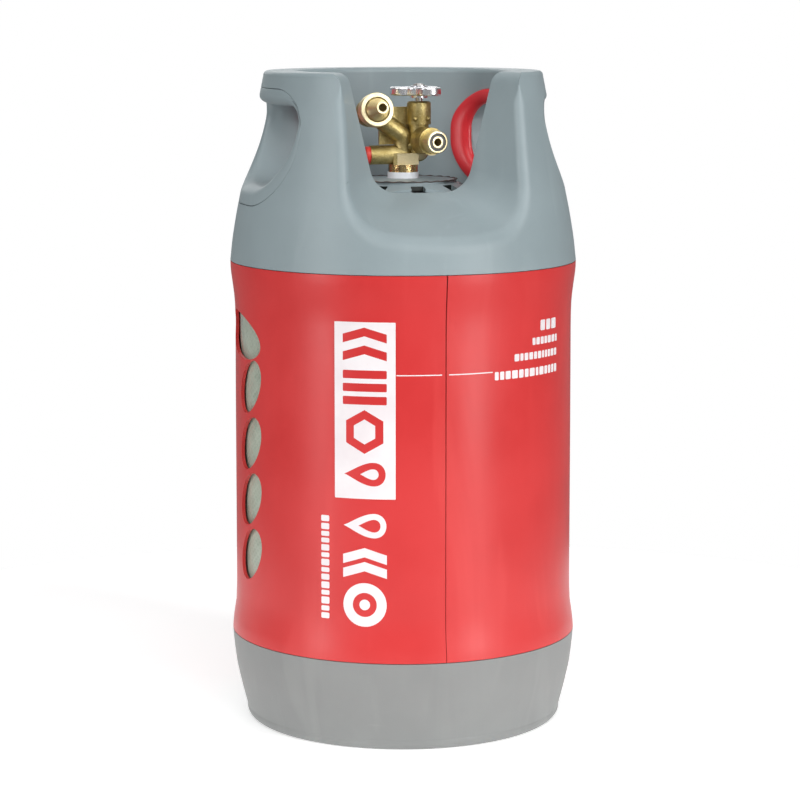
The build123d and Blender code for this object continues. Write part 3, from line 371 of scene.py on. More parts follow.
def cast_brass():
    """Rough forged brass, with a darker neck ring and painted light that makes the block's front
    face lighter.
    """
    recipe = Recipe("forged_brass")
    sand = recipe.noise(620.0, 4.0, 0.6)
    pits = recipe.cells(760.0)
    stain = recipe.noise(55.0, 6.0, 0.62)
    height = recipe.axis("Z")
    tone = recipe.blend(
        recipe.span(stain, 0.36, 0.66), colour(0.33, 0.255, 0.095), colour(0.6, 0.49, 0.22)
    )
    tone = recipe.blend(recipe.span(sand, 0.5, 0.75, 0.0, 0.5), tone, colour(0.74, 0.64, 0.35))
    # Painted light: the front face of the block is mixed lighter, as if lit
    front = recipe.sums("LESS_THAN", recipe.axis("Y"), LIT_FACE_FRONT * MM)
    low = recipe.sums("LESS_THAN", height, LIT_FACE_TOP * MM)
    right = recipe.sums("GREATER_THAN", recipe.axis("X"), LIT_FACE_LEFT * MM)
    lit_face = recipe.sums("MULTIPLY", front, recipe.sums("MULTIPLY", low, right))
    tone = recipe.blend(recipe.sums("MULTIPLY", lit_face, 0.8), tone, colour(0.88, 0.76, 0.48))
    ring = recipe.sums("LESS_THAN", height, NECK_RING_TOP * MM)
    tone = recipe.blend(recipe.sums("MULTIPLY", ring, 0.85), tone, colour(0.5, 0.35, 0.15))
    recipe.feed(recipe.shader.inputs["Base Color"], tone)
    gloss = recipe.span(stain, 0.35, 0.7, 0.52, 0.36)
    gloss = recipe.sums("ADD", gloss, recipe.sums("MULTIPLY", ring, -0.24))
    recipe.feed(recipe.shader.inputs["Roughness"], gloss)
    recipe.bump([(sand, 0.18 * MM), (pits, 0.12 * MM), (stain, 0.5 * MM)])
    recipe.fix(Metallic=1.0)
    return recipe.material


# Rubbers: main and dark colour
RUBBERS = {
    # The collar bead's dark brown is painted shade of the thin gap at the collar's edge
    "collar_gap_shade": ((0.12, 0.095, 0.085), (0.07, 0.055, 0.05)),
    "seal_black_rubber": ((0.03, 0.03, 0.03), (0.02, 0.02, 0.02)),
    "seal_grey_rubber": ((0.15, 0.15, 0.145), (0.1, 0.1, 0.1)),
}


def seal_rubber(name):
    """Matte rubber with dust in its pores."""
    main, dark = (colour(*tint) for tint in RUBBERS[name])
    recipe = Recipe(name)
    pores = recipe.noise(900.0, 4.0)
    dust = recipe.noise(120.0, 5.0)
    tone = recipe.blend(recipe.span(dust, 0.35, 0.7), dark, main)
    recipe.feed(recipe.shader.inputs["Base Color"], tone)
    recipe.feed(recipe.shader.inputs["Roughness"], recipe.span(pores, 0.3, 0.7, 0.55, 0.75))
    recipe.bump([(pores, 0.06 * MM)])
    return recipe.material


def print_ink():
    """White screen-printed ink, worn thin in places."""
    recipe = Recipe("print_white_ink")
    cloud = recipe.noise(24.0, 4.0)
    speck = recipe.noise(900.0, 3.0)
    worn = recipe.sums("MULTIPLY", recipe.span(speck, 0.66, 0.76), recipe.span(cloud, 0.45, 0.7))
    tone = recipe.blend(
        recipe.span(cloud, 0.3, 0.7), colour(0.84, 0.77, 0.79), colour(0.9, 0.86, 0.87)
    )
    tone = recipe.blend(recipe.sums("MULTIPLY", worn, 0.5), tone, colour(0.75, 0.25, 0.24))
    recipe.feed(recipe.shader.inputs["Base Color"], tone)
    recipe.feed(recipe.shader.inputs["Roughness"], recipe.span(speck, 0.3, 0.7, 0.38, 0.5))
    recipe.bump([(speck, 0.02 * MM)])
    return recipe.material


top_grey = casing_plastic("casing_blue_grey")
collar_gap_shade_look = seal_rubber("collar_gap_shade")
red_grip = moulded_plastic("grip_red_plastic").material
white_ink = print_ink()

LOOKS = {
    "top_casing": top_grey,
    "base_casing": casing_plastic("casing_neutral_grey"),
    "sleeve": sleeve_plastic(),
    "composite_shell": wound_composite(),
    "liner": moulded_plastic("liner_milky_plastic").material,
    "neck_boss": metal("turned_alloy"),
    "valve_body": cast_brass(),
    "outlet_union": metal("turned_brass", "_outlet", (0, 0, OUTLET_TURN)),
    "fill_connector": metal("turned_brass", "_cup", (FILLER_PITCH, 0, FILLER_TURN)),
    "fill_nozzle": metal("turned_brass", "_nozzle", (FILLER_PITCH, 0, FILLER_TURN)),
    "relief_adjuster": metal("turned_brass", "_relief", (0, 0, radians(90))),
    "valve_plug": metal("turned_brass", "_plug", (radians(90), 0, 0)),
    "neck_washer": moulded_plastic("washer_white_plastic").material,
    "neck_o_ring": seal_rubber("seal_black_rubber"),
    "outlet_seal": seal_rubber("seal_grey_rubber"),
    "handwheel": metal("polished_chrome"),
    "spindle": metal("bright_steel"),
    "relief_cap": moulded_plastic("cap_red_plastic").material,
    "stop_housing": moulded_plastic("stop_pale_plastic").material,
    "float": moulded_plastic("float_foam_cells").material,
}
SAME_LOOK = {
    "neck_collar": "top_casing",
    "base_plug": "neck_boss",
    "bonnet": "valve_body",
    "gland_o_ring": "neck_o_ring",
    "plug_seat_disc": "neck_o_ring",
    "boss_seal": "neck_o_ring",
    "handwheel_nut": "spindle",
    "fill_check_spring": "spindle",
    "relief_spring": "spindle",
    "float_pin": "spindle",
    "fill_check_poppet": "spindle",
    "relief_disc": "spindle",
    "stop_piston": "stop_housing",
    "float_arm": "stop_housing",
}
for twin, model in SAME_LOOK.items():
    LOOKS[twin] = LOOKS[model]
for node_name, look in LOOKS.items():
    for material_slot in nodes[node_name].material_slots:
        material_slot.material = look


# ---------------------------------------------------------------- mesh helpers

def add_piece(name, mesh, look, body):
    """Links a mesh as a piece that rides on a CAD body."""
    piece = bpy.data.objects.new(name, mesh)
    bpy.context.collection.objects.link(piece)
    mesh.materials.append(look)
    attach(piece, body)
    return piece


def loft_mesh(name, loops):
    """Closed ring of quads between loops with the same number of points."""
    count = len(loops[0])
    points = [Vector(point) * MM for loop in loops for point in loop]
    faces = []
    for row in range(len(loops)):
        above = (row + 1) % len(loops)
        for here in range(count):
            there = (here + 1) % count
            faces.append((
                row * count + here, row * count + there,
                above * count + there, above * count + here,
            ))
    mesh = bpy.data.meshes.new(name)
    mesh.from_pydata(points, [], faces)
    shape = bmesh.new()
    shape.from_mesh(mesh)
    bmesh.ops.recalc_face_normals(shape, faces=shape.faces)
    shape.to_mesh(mesh)
    shape.free()
    mesh.polygons.foreach_set("use_smooth", [True] * len(mesh.polygons))
    return mesh


def opening_outline(size, grow):
    """Points (y, z) round a D-shaped opening, the same count for every size."""
    half_width, bottom, top, bottom_radius, top_radius = size
    low = (half_width - bottom_radius, bottom + bottom_radius, bottom_radius + grow)
    high = (half_width - top_radius, top - top_radius, top_radius + grow)
    corners = []
    for side, (reach, height, radius), start in (
        (1, low, -90), (1, high, 0), (-1, high, 90), (-1, low, 180)
    ):
        arc = []
        for step in range(CORNER_STEPS + 1):
            turn = radians(start + 90 * step / CORNER_STEPS)
            arc.append((side * reach + radius * cos(turn), height + radius * sin(turn)))
        corners.append(arc)
    outline = []
    for index, arc in enumerate(corners):
        outline += arc
        following = corners[(index + 1) % len(corners)][0]
        last = arc[-1]
        for step in range(1, STRAIGHT_STEPS):
            share = step / STRAIGHT_STEPS
            outline.append((
                last[0] + (following[0] - last[0]) * share,
                last[1] + (following[1] - last[1]) * share,
            ))
    return outline


# ---------------------------------------------------------------- hand openings

# Tunnel: X of its mouth and throat outlines, radius where it ends, and thickness of its wall
MOUTH_PLANE = 106.0
THROAT_PLANE = 60.0
TUNNEL_END = 97.2
TUNNEL_WALL = 5.0
TUNNEL_STEPS = 6
TUNNEL_ROUNDS = 4

# Bezel let into the casing wall: depth, gap round it, worn edge, and the edge's middle point
BEZEL_DEPTH = 6.0
BEZEL_GAP = 0.5
BEZEL_EDGE = 0.7
BEZEL_TURN = (0.3, 0.2)

# Rounding between the bezel and the tunnel
MOUTH_ROUND = 8.4
MOUTH_DEPTH = 13.0
ROUND_STEPS = 10


def on_wall(point, inset):
    """Casing wall point (x, y, z) over a point (y, z), drawn in by an inset."""
    across, height = point
    share = (height - CONE_LOW[1]) / (CONE_HIGH[1] - CONE_LOW[1])
    radius = CONE_LOW[0] + (CONE_HIGH[0] - CONE_LOW[0]) * share - inset
    return (sqrt(radius * radius - across * across), across, height)


def in_tunnel(mouth_point, throat_point, reach):
    """Point on the tunnel wall at a distance along X."""
    share = max(0.0, (MOUTH_PLANE - reach) / (MOUTH_PLANE - THROAT_PLANE))
    across = mouth_point[0] + (throat_point[0] - mouth_point[0]) * share
    height = mouth_point[1] + (throat_point[1] - mouth_point[1]) * share
    return (reach, across, height)


def tunnel_loops(grow, depth):
    """Loops from the casing wall to the inner end of the tunnel."""
    mouth = opening_outline(APERTURE, grow)
    throat = opening_outline(THROAT, grow)
    loops = []
    for step in range(TUNNEL_STEPS + 1):
        loop = []
        for mouth_point, throat_point in zip(mouth, throat):
            start = on_wall(mouth_point, depth)[0]
            end = TUNNEL_END
            for _ in range(TUNNEL_ROUNDS):
                across = in_tunnel(mouth_point, throat_point, end)[1]
                end = sqrt(TUNNEL_END * TUNNEL_END - across * across)
            reach = start + (end - start) * step / TUNNEL_STEPS
            loop.append(in_tunnel(mouth_point, throat_point, reach))
        loops.append(loop)
    return loops


def insert_loops():
    """Closed chain of loops round the wall of a hand opening insert."""
    bezel_edge = opening_outline(BEZEL, -BEZEL_GAP)
    bezel_turn = opening_outline(BEZEL, -BEZEL_GAP - BEZEL_TURN[0] * BEZEL_EDGE)
    bezel_flat = opening_outline(BEZEL, -BEZEL_GAP - BEZEL_EDGE)
    loops = [
        [on_wall(point, BEZEL_DEPTH) for point in bezel_edge],
        [on_wall(point, BEZEL_EDGE) for point in bezel_edge],
        [on_wall(point, BEZEL_TURN[1] * BEZEL_EDGE) for point in bezel_turn],
        [on_wall(point, 0.0) for point in bezel_flat],
    ]
    for step in range(ROUND_STEPS):
        turn = 0.5 * pi * step / ROUND_STEPS
        outline = opening_outline(APERTURE, MOUTH_ROUND * (1 - sin(turn)))
        loops.append([on_wall(point, MOUTH_DEPTH * (1 - cos(turn))) for point in outline])
    loops += tunnel_loops(0.0, MOUTH_DEPTH)
    loops += reversed(tunnel_loops(TUNNEL_WALL, BEZEL_DEPTH))
    return loops


def mirrored(loops):
    """The same loops on the other side of the casing."""
    return [[(-x, y, z) for x, y, z in loop] for loop in loops]


# Red ring: distance from the cylinder's axis, half thickness, half width, and how square it is
GRIP_RADIUS = 92.75
GRIP_THICK = 4.25
GRIP_WIDE = 6.3
GRIP_STEPS = 20
GRIP_SQUARE = 0.8


def bulge(value):
    """Cosine or sine drawn out so that the section is slightly squared."""
    return abs(value) ** GRIP_SQUARE * (1 if value > 0 else -1)


def grip_loops():
    """Sections of the ring, each a rounded loop square to its path."""
    path = opening_outline(GRIP, 0.0)
    path = [point for index, point in enumerate(path) if point != path[index - 1]]
    loops = []
    for index, (across, height) in enumerate(path):
        before = path[index - 1]
        after = path[(index + 1) % len(path)]
        along = Vector((after[0] - before[0], after[1] - before[1])).normalized()
        outward = (along[1], -along[0])
        loop = []
        for step in range(GRIP_STEPS):
            turn = 2 * pi * step / GRIP_STEPS
            wide = GRIP_WIDE * bulge(cos(turn))
            deep = GRIP_THICK * bulge(sin(turn))
            side = across + outward[0] * wide
            radius = GRIP_RADIUS + deep
            loop.append((sqrt(radius * radius - side * side), side, height + outward[1] * wide))
        loops.append(loop)
    return loops


for side_name, turned in (("right", False), ("left", True)):
    lining = insert_loops()
    ring = grip_loops()
    if turned:
        lining = mirrored(lining)
        ring = mirrored(ring)
    insert = add_piece(
        f"hand_insert_{side_name}", loft_mesh(f"hand_insert_{side_name}", lining),
        top_grey, "cylinder",
    )
    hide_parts(f"handle_insert_{side_name}")
    grip = add_piece(
        f"grip_{side_name}", loft_mesh(f"grip_{side_name}", ring),
        red_grip, "cylinder",
    )
    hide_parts(f"grip_ring_{side_name}")


# ---------------------------------------------------------------- soft crease of the scoop

# Outer wall of the casing: radius and height
WALL_OUTLINE = [
    (152.3, 409.1), (151.6, 416.0), (150.6, 425.0), (149.3, 434.0), (147.8, 443.0),
    (146.2, 452.0), CONE_LOW, CONE_HIGH,
]
WALL_THICK = 4.0

# Where faces of the scoop lie, and how far inside the outer wall they start
SCOOP_FRONT = -63.1
SCOOP_HALF_WIDTH = 84.0
SCOOP_LOW = 424.0
SCOOP_DEPTH = 0.2

# How near counts as on the outer wall, on its inner face, facing along it, and as the same point
ON_SURFACE = 0.3
ON_INNER_WALL = 1.0
FACING = 0.9
SAME_POINT = 0.002

# Soft edge: how wide it is and how it fades out below the rim
CREASE_BLEND = 10.0
CREASE_BLEND_LEAST = 0.2
CREASE_TOP = 564.0
CREASE_FADE = 16.0
CREASE_STEPS = 6

# Finer mesh near the soft edge: reach, longest edge and passes
CREASE_ZONE = 15.0
CREASE_EDGE = 2.4
CREASE_PASSES = 9

# How far each shading direction is read from inside its own face
CORNER_LEAN = 0.05


def wall_at(height):
    """Radius of the casing's outer wall and its slope at a height."""
    for (low_radius, low), (high_radius, high) in zip(WALL_OUTLINE, WALL_OUTLINE[1:]):
        if height <= high or high == CONE_HIGH[1]:
            slope = (high_radius - low_radius) / (high - low)
            return low_radius + slope * (height - low), slope


def off_wall(point):
    """Distance of a point outside the wall, and the wall's outward direction there."""
    radius = sqrt(point.x * point.x + point.y * point.y)
    wall, slope = wall_at(point.z)
    outward = Vector((point.x / radius, point.y / radius, -slope)).normalized()
    return (radius - wall) * outward.xy.length, outward


def is_wall(face):
    """True for a face of the casing's outer wall."""
    distance, outward = off_wall(face.calc_center_median() / MM)
    return abs(distance) < ON_SURFACE and face.normal.dot(outward) > FACING


def is_scoop(face):
    """True for a face of the scoop's own surface."""
    middle = face.calc_center_median() / MM
    if middle.y > SCOOP_FRONT or abs(middle.x) > SCOOP_HALF_WIDTH:
        return False
    if middle.z < SCOOP_LOW or middle.z > CREASE_TOP:
        return False
    distance, outward = off_wall(middle)
    if abs(distance + WALL_THICK) < ON_INNER_WALL and face.normal.dot(outward) < -FACING:
        return False
    towards = Vector((0.0, middle.y, CONE_HIGH[1])) - middle
    return distance < -SCOOP_DEPTH and face.normal.dot(towards) > 0


def shading_source(mesh):
    """Lookup of the smooth shading direction at any point of a mesh."""
    mesh.calc_loop_triangles()
    triangles = [tuple(triangle.vertices) for triangle in mesh.loop_triangles]
    corners = [tuple(triangle.loops) for triangle in mesh.loop_triangles]
    points = [vertex.co.copy() for vertex in mesh.vertices]
    normals = [corner.vector.copy() for corner in mesh.corner_normals]
    surface = BVHTree.FromPolygons(points, triangles)

    def shading(place):
        near, _, row, _ = surface.find_nearest(place)
        weights = poly_3d_calc([points[index] for index in triangles[row]], near)
        blended = Vector((0.0, 0.0, 0.0))
        for corner, weight in zip(corners[row], weights):
            blended += normals[corner] * weight
        return blended.normalized()

    return shading


def refine(shape, reach):
    """Splits the long edges near the crease until they are short."""
    for _ in range(CREASE_PASSES):
        long_edges = []
        for edge in shape.edges:
            if edge.calc_length() / MM < CREASE_EDGE:
                continue
            first, second = edge.verts
            spots = (first.co, second.co, (first.co + second.co) / 2)
            if min(reach(spot) for spot in spots) < CREASE_ZONE:
                long_edges.append(edge)
        if not long_edges:
            break
        bmesh.ops.subdivide_edges(shape, edges=long_edges, cuts=1)
        bmesh.ops.triangulate(shape, faces=[face for face in shape.faces if len(face.verts) > 3])


def corner_tree(faces):
    """Search tree, in millimetres, of a set of triangles."""
    corners = [vertex.co / MM for face in faces for vertex in face.verts]
    rows = [(row, row + 1, row + 2) for row in range(0, len(corners), 3)]
    return BVHTree.FromPolygons(corners, rows)


def crease_tree(shape, scoop_faces):
    """Search tree, in millimetres, of the edges between the scoop and the outer wall."""
    scoop_set = set(scoop_faces)
    ends = []
    for edge in shape.edges:
        if len(edge.link_faces) != 2:
            continue
        first, second = edge.link_faces
        if (first in scoop_set) == (second in scoop_set):
            continue
        if is_wall(second if first in scoop_set else first):
            ends += [vertex.co / MM for vertex in edge.verts]
    return BVHTree.FromPolygons(ends, [(row, row + 1, row) for row in range(0, len(ends), 2)])


def blended_point(point, scoop):
    """Point drawn in to the soft edge, with the surface's direction there, or None away from it."""
    blend = max(CREASE_BLEND_LEAST, CREASE_BLEND * min(1.0, (CREASE_TOP - point.z) / CREASE_FADE))
    for _ in range(CREASE_STEPS):
        over_wall, outward = off_wall(point)
        near, normal, _, _ = scoop.find_nearest(point)
        over_scoop = (point - near).dot(normal)
        share = max(blend - abs(over_wall - over_scoop), 0.0) / blend
        over = max(over_wall, over_scoop) + share * share * blend / 4
        wall_part = 1 - share / 2 if over_wall > over_scoop else share / 2
        lean = outward * wall_part + normal * (1 - wall_part)
        point = point - lean * (over / lean.length_squared)
    return (point, lean.normalized()) if share > 0 else None


def soften(shape, scoop, reach):
    """Moves the points near the crease, and gives the new direction of each one moved."""
    directions = {}
    shape.verts.index_update()
    for vertex in shape.verts:
        point = vertex.co / MM
        if reach(vertex.co) > CREASE_ZONE or point.z > CREASE_TOP:
            continue
        if abs(off_wall(point)[0]) > ON_SURFACE and scoop.find_nearest(point)[3] > ON_SURFACE:
            continue
        blended = blended_point(point, scoop)
        if blended:
            vertex.co = blended[0] * MM
            directions[vertex.index] = blended[1]
    return directions


def softened_casing():
    """Copy of the top casing whose crease round the scoop is blended into a soft edge."""
    shading = shading_source(nodes["top_casing"].data)
    shape = bmesh.new()
    shape.from_mesh(nodes["top_casing"].data)
    bmesh.ops.remove_doubles(shape, verts=shape.verts, dist=SAME_POINT * MM)
    bmesh.ops.triangulate(shape, faces=shape.faces)
    scoop_faces = [face for face in shape.faces if is_scoop(face)]
    scoop = corner_tree(scoop_faces)
    crease = crease_tree(shape, scoop_faces)

    def reach(place):
        return crease.find_nearest(place / MM)[3]

    refine(shape, reach)
    normals = []
    for face in shape.faces:
        middle = face.calc_center_median()
        normals += [shading(vertex.co.lerp(middle, CORNER_LEAN)) for vertex in face.verts]
    directions = soften(shape, scoop, reach)
    mesh = bpy.data.meshes.new("casing_top")
    shape.to_mesh(mesh)
    shape.free()
    mesh.polygons.foreach_set("use_smooth", [True] * len(mesh.polygons))
    for loop in mesh.loops:
        normals[loop.index] = directions.get(loop.vertex_index, normals[loop.index])
    mesh.normals_split_custom_set(normals)
    return mesh


casing_top = add_piece("casing_top", softened_casing(), top_grey, "cylinder")
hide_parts("top_casing")


# ---------------------------------------------------------------- springs

FILLER_AXIS = Vector((
    sin(FILLER_TURN) * cos(FILLER_PITCH), -cos(FILLER_TURN) * cos(FILLER_PITCH), sin(FILLER_PITCH)
))
FILLER_FACE = Vector((-28.7, -24.0, 541.0))
FILLER_SPRING_DEPTH = 28.6
FILLER_SPRING_END = FILLER_FACE - FILLER_AXIS * FILLER_SPRING_DEPTH
RELIEF_AXIS = Vector((1.0, 0.0, 0.0))
RELIEF_SPRING_END = Vector((-23.9, 0.0, 500.4))

# Node, joint, direction, fixed end in millimetres, and share of the length left when pushed in
SPRINGS = [
    ("fill_check_spring", "fill_check_push", FILLER_AXIS, FILLER_SPRING_END, 0.66),
    ("relief_spring", "relief_lift", RELIEF_AXIS, RELIEF_SPRING_END, 0.9),
]


def short_spring(node, joint, axis, anchor, keep):
    """Copy of a compression spring, as a piece that rides on the cylinder in place of its node."""
    mesh = nodes[node].data.copy()
    mesh.materials.clear()
    piece = add_piece(node + "_coil", mesh, LOOKS["spindle"], "cylinder")
    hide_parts(node)
    tuple(axis)
    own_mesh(piece)


for spring in SPRINGS:
    short_spring(*spring)


# ---------------------------------------------------------------- collar edge

# Bead: middle radius and height, half width and half height, and its waves; its dark colour is
# painted shade of the gap
BEAD_RADIUS = 46.6
BEAD_HEIGHT = 479.2
BEAD_SECTION = (1.1, 0.55)
BEAD_WAVES = 26
BEAD_SWING = 0.6
BEAD_POINTS = 312
BEAD_SIDES = 8


def bead_loops():
    """Thin wavy bead where the collar meets the slotted floor; its dark brown is painted shade of
    the gap there.
    """
    loops = []
    for index in range(BEAD_POINTS):
        turn = 2 * pi * index / BEAD_POINTS
        wave = BEAD_SWING * sin(BEAD_WAVES * turn)
        loop = []
        for step in range(BEAD_SIDES):
            angle = 2 * pi * step / BEAD_SIDES
            radius = BEAD_RADIUS + wave + BEAD_SECTION[0] * cos(angle)
            height = BEAD_HEIGHT + wave / 2 + BEAD_SECTION[1] * sin(angle)
            loop.append((radius * cos(turn), radius * sin(turn), height))
        loops.append(loop)
    return loops


# Painted shade: a dark wavy bead along the gap where the collar meets the slotted floor
add_piece(
    "collar_bead", loft_mesh("collar_bead", bead_loops()), collar_gap_shade_look, "cylinder"
)


# ---------------------------------------------------------------- print on the sleeve

# Film of ink: radius its widths are measured on, heights of its two faces over the sleeve, width of
# the strips it is cut in, and how near counts as the same point
PRINT_RADIUS = 148.8
PRINT_LIFT = (0.03, 0.16)
PRINT_STRIP = 3.0
PRINT_MERGE = 0.001

# Marks: sides of a rounded corner and of a drop, and the drop's taper and height
ROUND_SIDES = 6
DROP_SIDES = 48
DROP_PINCH = 1.5
DROP_FLAT = 0.8

# Blocks that stand for words, as shares of their height: widths, narrowest, gap and corner
BLOCK_WIDTHS = (0.5, 0.95)
BLOCK_LEAST = 0.35
BLOCK_GAP = 0.22
BLOCK_ROUND = 0.14

sleeve_shape = BVHTree.FromObject(nodes["sleeve"], bpy.context.evaluated_depsgraph_get())


def on_sleeve(across, height, lift):
    """Point over the sleeve's outer face, from a distance along its surface and a height."""
    azimuth = across / PRINT_RADIUS
    outward = Vector((sin(azimuth), -cos(azimuth), 0.0))
    start = outward * 2 * PRINT_RADIUS * MM + Vector((0, 0, height * MM))
    hit = sleeve_shape.ray_cast(start, -outward)[0]
    return hit + outward * lift * MM


def rounded_box(left, right, low, high, radius):
    """Outline of a box with rounded corners."""
    outline = []
    for centre_x, centre_y, start in (
        (right - radius, low + radius, -90), (right - radius, high - radius, 0),
        (left + radius, high - radius, 90), (left + radius, low + radius, 180),
    ):
        for step in range(ROUND_SIDES + 1):
            turn = radians(start + 90 * step / ROUND_SIDES)
            outline.append((centre_x + radius * cos(turn), centre_y + radius * sin(turn)))
    return outline


def regular(centre, radius, sides, start=0.0):
    """Outline of a regular polygon."""
    return [
        (
            centre[0] + radius * cos(radians(start) + 2 * pi * step / sides),
            centre[1] + radius * sin(radians(start) + 2 * pi * step / sides),
        )
        for step in range(sides)
    ]


def drop(centre, size):
    """Outline of a drop that points to the left."""
    outline = []
    for step in range(DROP_SIDES):
        turn = 2 * pi * step / DROP_SIDES
        pinch = sin(0.5 * turn) ** DROP_PINCH
        high = DROP_FLAT * size * sin(turn) * pinch
        outline.append((centre[0] - size * cos(turn), centre[1] + high))
    return outline


def chevron(centre, wide, high, thick):
    """Outline of an arrow head that points up."""
    x, y = centre
    return [
        (x - wide, y - high), (x, y + high - thick), (x + wide, y - high),
        (x + wide, y - high + thick), (x, y + high), (x - wide, y - high + thick),
    ]


def flat_shape(name, outlines):
    """Flat filled mesh, in millimetres; an outline inside another is a hole."""
    sheet = bpy.data.curves.new(name, "CURVE")
    sheet.dimensions = "2D"
    sheet.fill_mode = "BOTH"
    for outline in outlines:
        spline = sheet.splines.new("POLY")
        spline.points.add(len(outline) - 1)
        for point, (across, height) in zip(spline.points, outline):
            point.co = (across, height, 0.0, 1.0)
        spline.use_cyclic_u = True
    holder = bpy.data.objects.new(name, sheet)
    bpy.context.collection.objects.link(holder)
    filled = holder.evaluated_get(bpy.context.evaluated_depsgraph_get())
    flat = bpy.data.meshes.new_from_object(filled)
    bpy.data.objects.remove(holder)
    bpy.data.curves.remove(sheet)
    shape = bmesh.new()
    shape.from_mesh(flat)
    bpy.data.meshes.remove(flat)
    bmesh.ops.remove_doubles(shape, verts=shape.verts, dist=PRINT_MERGE)
    return shape


def cut_in_strips(shape):
    """Cuts a flat shape into upright strips, so that it can follow a round wall."""
    last = max(vertex.co.x for vertex in shape.verts)
    cut = min(vertex.co.x for vertex in shape.verts) + PRINT_STRIP
    while cut < last:
        parts = [*shape.verts, *shape.edges, *shape.faces]
        bmesh.ops.bisect_plane(shape, geom=parts, plane_co=(cut, 0, 0), plane_no=(1, 0, 0))
        cut += PRINT_STRIP
    bmesh.ops.triangulate(shape, faces=shape.faces)


def ink_mesh(name, outlines):
    """Thin curved film on the sleeve; an outline inside another is a hole."""
    shape = flat_shape(name, outlines)
    cut_in_strips(shape)
    film = bmesh.new()
    bottom, top = (
        {vertex: film.verts.new(on_sleeve(vertex.co.x, vertex.co.y, lift)) for vertex in shape.verts}
        for lift in PRINT_LIFT
    )
    for face in shape.faces:
        film.faces.new([top[vertex] for vertex in face.verts])
        film.faces.new([bottom[vertex] for vertex in reversed(face.verts)])
    for edge in shape.edges:
        if len(edge.link_faces) == 1:
            first, second = edge.verts
            film.faces.new((top[first], bottom[first], bottom[second], top[second]))
    bmesh.ops.recalc_face_normals(film, faces=film.faces)
    mesh = bpy.data.meshes.new(name)
    film.to_mesh(mesh)
    film.free()
    shape.free()
    return mesh


def word(left, right, low, high):
    """Row of small blocks, each of its own width, that stands for a printed word."""
    outlines = []
    place = left
    tall = high - low
    while place < right - BLOCK_LEAST * tall:
        wide = min(tall * random.uniform(*BLOCK_WIDTHS), right - place)
        outlines.append(rounded_box(place, place + wide, low, high, BLOCK_ROUND * tall))
        place += wide + BLOCK_GAP * tall
    return outlines


def column(left, right, low, high):
    """The same row of blocks turned to read upwards."""
    row = word(left, left + high - low, left, right)
    return [[(right - (y - left), low + (x - left)) for x, y in outline] for outline in row]


# Print, by distance round the sleeve and height: boxes are left, right, bottom and top
PANEL = (-95.3, -42.6, 220.0, 369.5)
PANEL_ROUND = 0.6
MARK_LEFT = -88.0
MARK_RIGHT = -50.0
MARK_MIDDLE = 0.5 * (MARK_LEFT + MARK_RIGHT)
DROP_INSET = 4.0
CIRCLE_SIDES = 48
DOT_SIDES = 24
HEXAGON_SIDES = 6
HEXAGON_START = 30.0

# Marks in the panel: height then outer and inner size, heights, or half width, half height and arm
PANEL_DROP = (241.0, 18.0, 8.0)
PANEL_HEXAGON = (277.0, 18.6, 10.6)
PANEL_BARS = (300.0, 311.0, 322.0)
BAR_THICK = 7.0
BAR_ROUND = 1.0
PANEL_CHEVRONS = (343.5, 358.5)
PANEL_CHEVRON_SIZE = (19.0, 6.5, 7.4)

# Marks below the panel, in the same terms
MARK_TARGET = (129.0, 18.8, 10.4, 4.6)
MARK_CHEVRONS = (159.0, 171.0)
MARK_CHEVRON_SIZE = (19.0, 7.0, 8.0)
MARK_DROP = (197.0, 18.6, 9.6)

# Small print: a column, a thin rule, and rows
COLUMN = (-108.4, -100.8, 115.0, 204.0)
RULE = (-42.0, 43.0, 324.6, 325.5)
RULE_ROUND = 0.4
ROWS = [
    (45.0, 129.5, 318.0, 325.0),
    (66.0, 129.5, 332.4, 338.6),
    (88.0, 129.5, 344.4, 350.6),
    (99.0, 129.5, 356.0, 365.0),
]


def ringed_drop(height, outer, inner):
    """Outlines of a drop with a smaller drop inside it."""
    return [drop((MARK_MIDDLE, height), outer), drop((MARK_MIDDLE + DROP_INSET, height), inner)]


def panel_outlines():
    """White panel with marks cut out of it."""
    height, *radii = PANEL_HEXAGON
    outlines = [rounded_box(*PANEL, PANEL_ROUND)]
    outlines += ringed_drop(*PANEL_DROP)
    for radius in radii:
        outlines.append(regular((MARK_MIDDLE, height), radius, HEXAGON_SIDES, HEXAGON_START))
    for low in PANEL_BARS:
        outlines.append(rounded_box(MARK_LEFT, MARK_RIGHT, low, low + BAR_THICK, BAR_ROUND))
    outlines += [chevron((MARK_MIDDLE, middle), *PANEL_CHEVRON_SIZE) for middle in PANEL_CHEVRONS]
    return outlines


def mark_outlines():
    """White marks below the panel."""
    height, outer, inner, dot = MARK_TARGET
    outlines = [regular((MARK_MIDDLE, height), radius, CIRCLE_SIDES) for radius in (outer, inner)]
    outlines.append(regular((MARK_MIDDLE, height), dot, DOT_SIDES))
    outlines += [chevron((MARK_MIDDLE, middle), *MARK_CHEVRON_SIZE) for middle in MARK_CHEVRONS]
    outlines += ringed_drop(*MARK_DROP)
    return outlines


def row_outlines():
    """Column and rows of small blocks, and the thin rule between panel and rows."""
    outlines = column(*COLUMN)
    outlines.append(rounded_box(*RULE, RULE_ROUND))
    for row in ROWS:
        outlines += word(*row)
    return outlines


for print_name, outlines in (
    ("print_panel", panel_outlines()),
    ("print_marks", mark_outlines()),
    ("print_rows", row_outlines()),
):
    add_piece(print_name, ink_mesh(print_name, outlines), white_ink, "cylinder")


# ---------------------------------------------------------------- floor, lights and camera

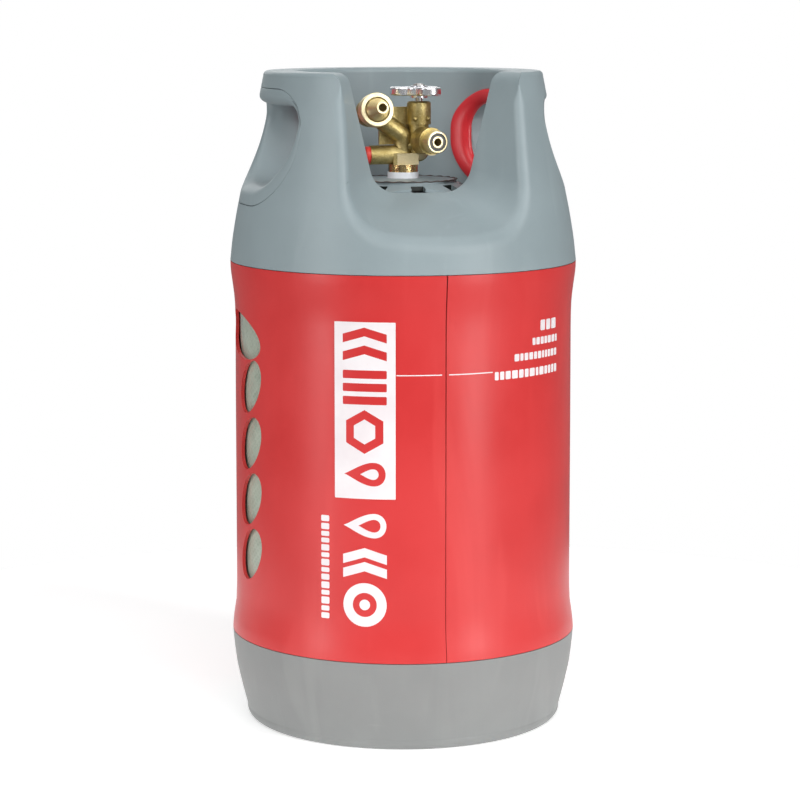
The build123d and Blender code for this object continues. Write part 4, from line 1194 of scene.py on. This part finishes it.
def studio_floor():
    """Plain pale floor."""
    recipe = Recipe("studio_floor")
    cloud = recipe.noise(3.0, 3.0)
    tone = recipe.blend(
        recipe.span(cloud, 0.3, 0.7), colour(0.88, 0.88, 0.88), colour(0.92, 0.92, 0.92)
    )
    recipe.feed(recipe.shader.inputs["Base Color"], tone)
    recipe.fix(Roughness=0.9, Emission_Color=colour(1.0, 1.0, 1.0), Emission_Strength=FLOOR_GLOW)
    turns = [2 * pi * side / FLOOR_SIDES for side in range(FLOOR_SIDES)]
    corners = [(FLOOR_RADIUS * cos(turn), FLOOR_RADIUS * sin(turn), 0.0) for turn in turns]
    mesh = bpy.data.meshes.new("studio_floor")
    mesh.from_pydata(corners, [], [list(range(FLOOR_SIDES))])
    mesh.materials.append(recipe.material)
    floor = bpy.data.objects.new("studio_floor", mesh)
    bpy.context.collection.objects.link(floor)


def softbox(name, azimuth, elevation, distance, size, power):
    """Area light aimed at the middle of the object."""
    lamp = bpy.data.lights.new(name, "AREA")
    lamp.shape = "RECTANGLE"
    lamp.size, lamp.size_y = size
    lamp.energy = power
    holder = bpy.data.objects.new(name, lamp)
    turn = radians(azimuth)
    lift = radians(elevation)
    back = Vector((sin(turn) * cos(lift), -cos(turn) * cos(lift), sin(lift)))
    holder.location = Vector((0, 0, AIM_HEIGHT)) + back * distance
    holder.rotation_euler = (-back).to_track_quat("-Z", "Y").to_euler()
    bpy.context.collection.objects.link(holder)


def studio():
    """White surroundings that are dimmer as a light than to the eye."""
    world = bpy.data.worlds.new("studio")
    world.use_nodes = True
    tree = world.node_tree

    def glow(tint, strength):
        made = tree.nodes.new("ShaderNodeBackground")
        made.inputs["Color"].default_value = tint
        made.inputs["Strength"].default_value = strength
        return made.outputs["Background"]

    def choice(ray, otherwise, chosen):
        made = tree.nodes.new("ShaderNodeMixShader")
        tree.links.new(rays.outputs[ray], made.inputs["Fac"])
        tree.links.new(otherwise, made.inputs[1])
        tree.links.new(chosen, made.inputs[2])
        return made.outputs["Shader"]

    rays = tree.nodes.new("ShaderNodeLightPath")
    white = colour(1.0, 1.0, 1.0)
    dim = choice("Is Glossy Ray", glow(colour(0.97, 0.99, 1.0), AMBIENT), glow(white, REFLECTED))
    surface = tree.nodes["World Output"].inputs["Surface"]
    tree.links.new(choice("Is Camera Ray", dim, glow(white, 1.0)), surface)
    bpy.context.scene.world = world
    bpy.context.scene.view_settings.view_transform = "Standard"


def camera():
    """Camera at the chosen viewing angle."""
    lens = bpy.data.cameras.new("camera")
    lens.lens = CAMERA_LENS
    lens.shift_x = CAMERA_SHIFT
    holder = bpy.data.objects.new("camera", lens)
    holder.location = CAMERA_PLACE
    holder.rotation_euler = Vector(CAMERA_LOOK).to_track_quat("-Z", "Y").to_euler()
    bpy.context.collection.objects.link(holder)
    bpy.context.scene.camera = holder


studio_floor()
studio()
for light in LIGHTS:
    softbox(*light)
camera()
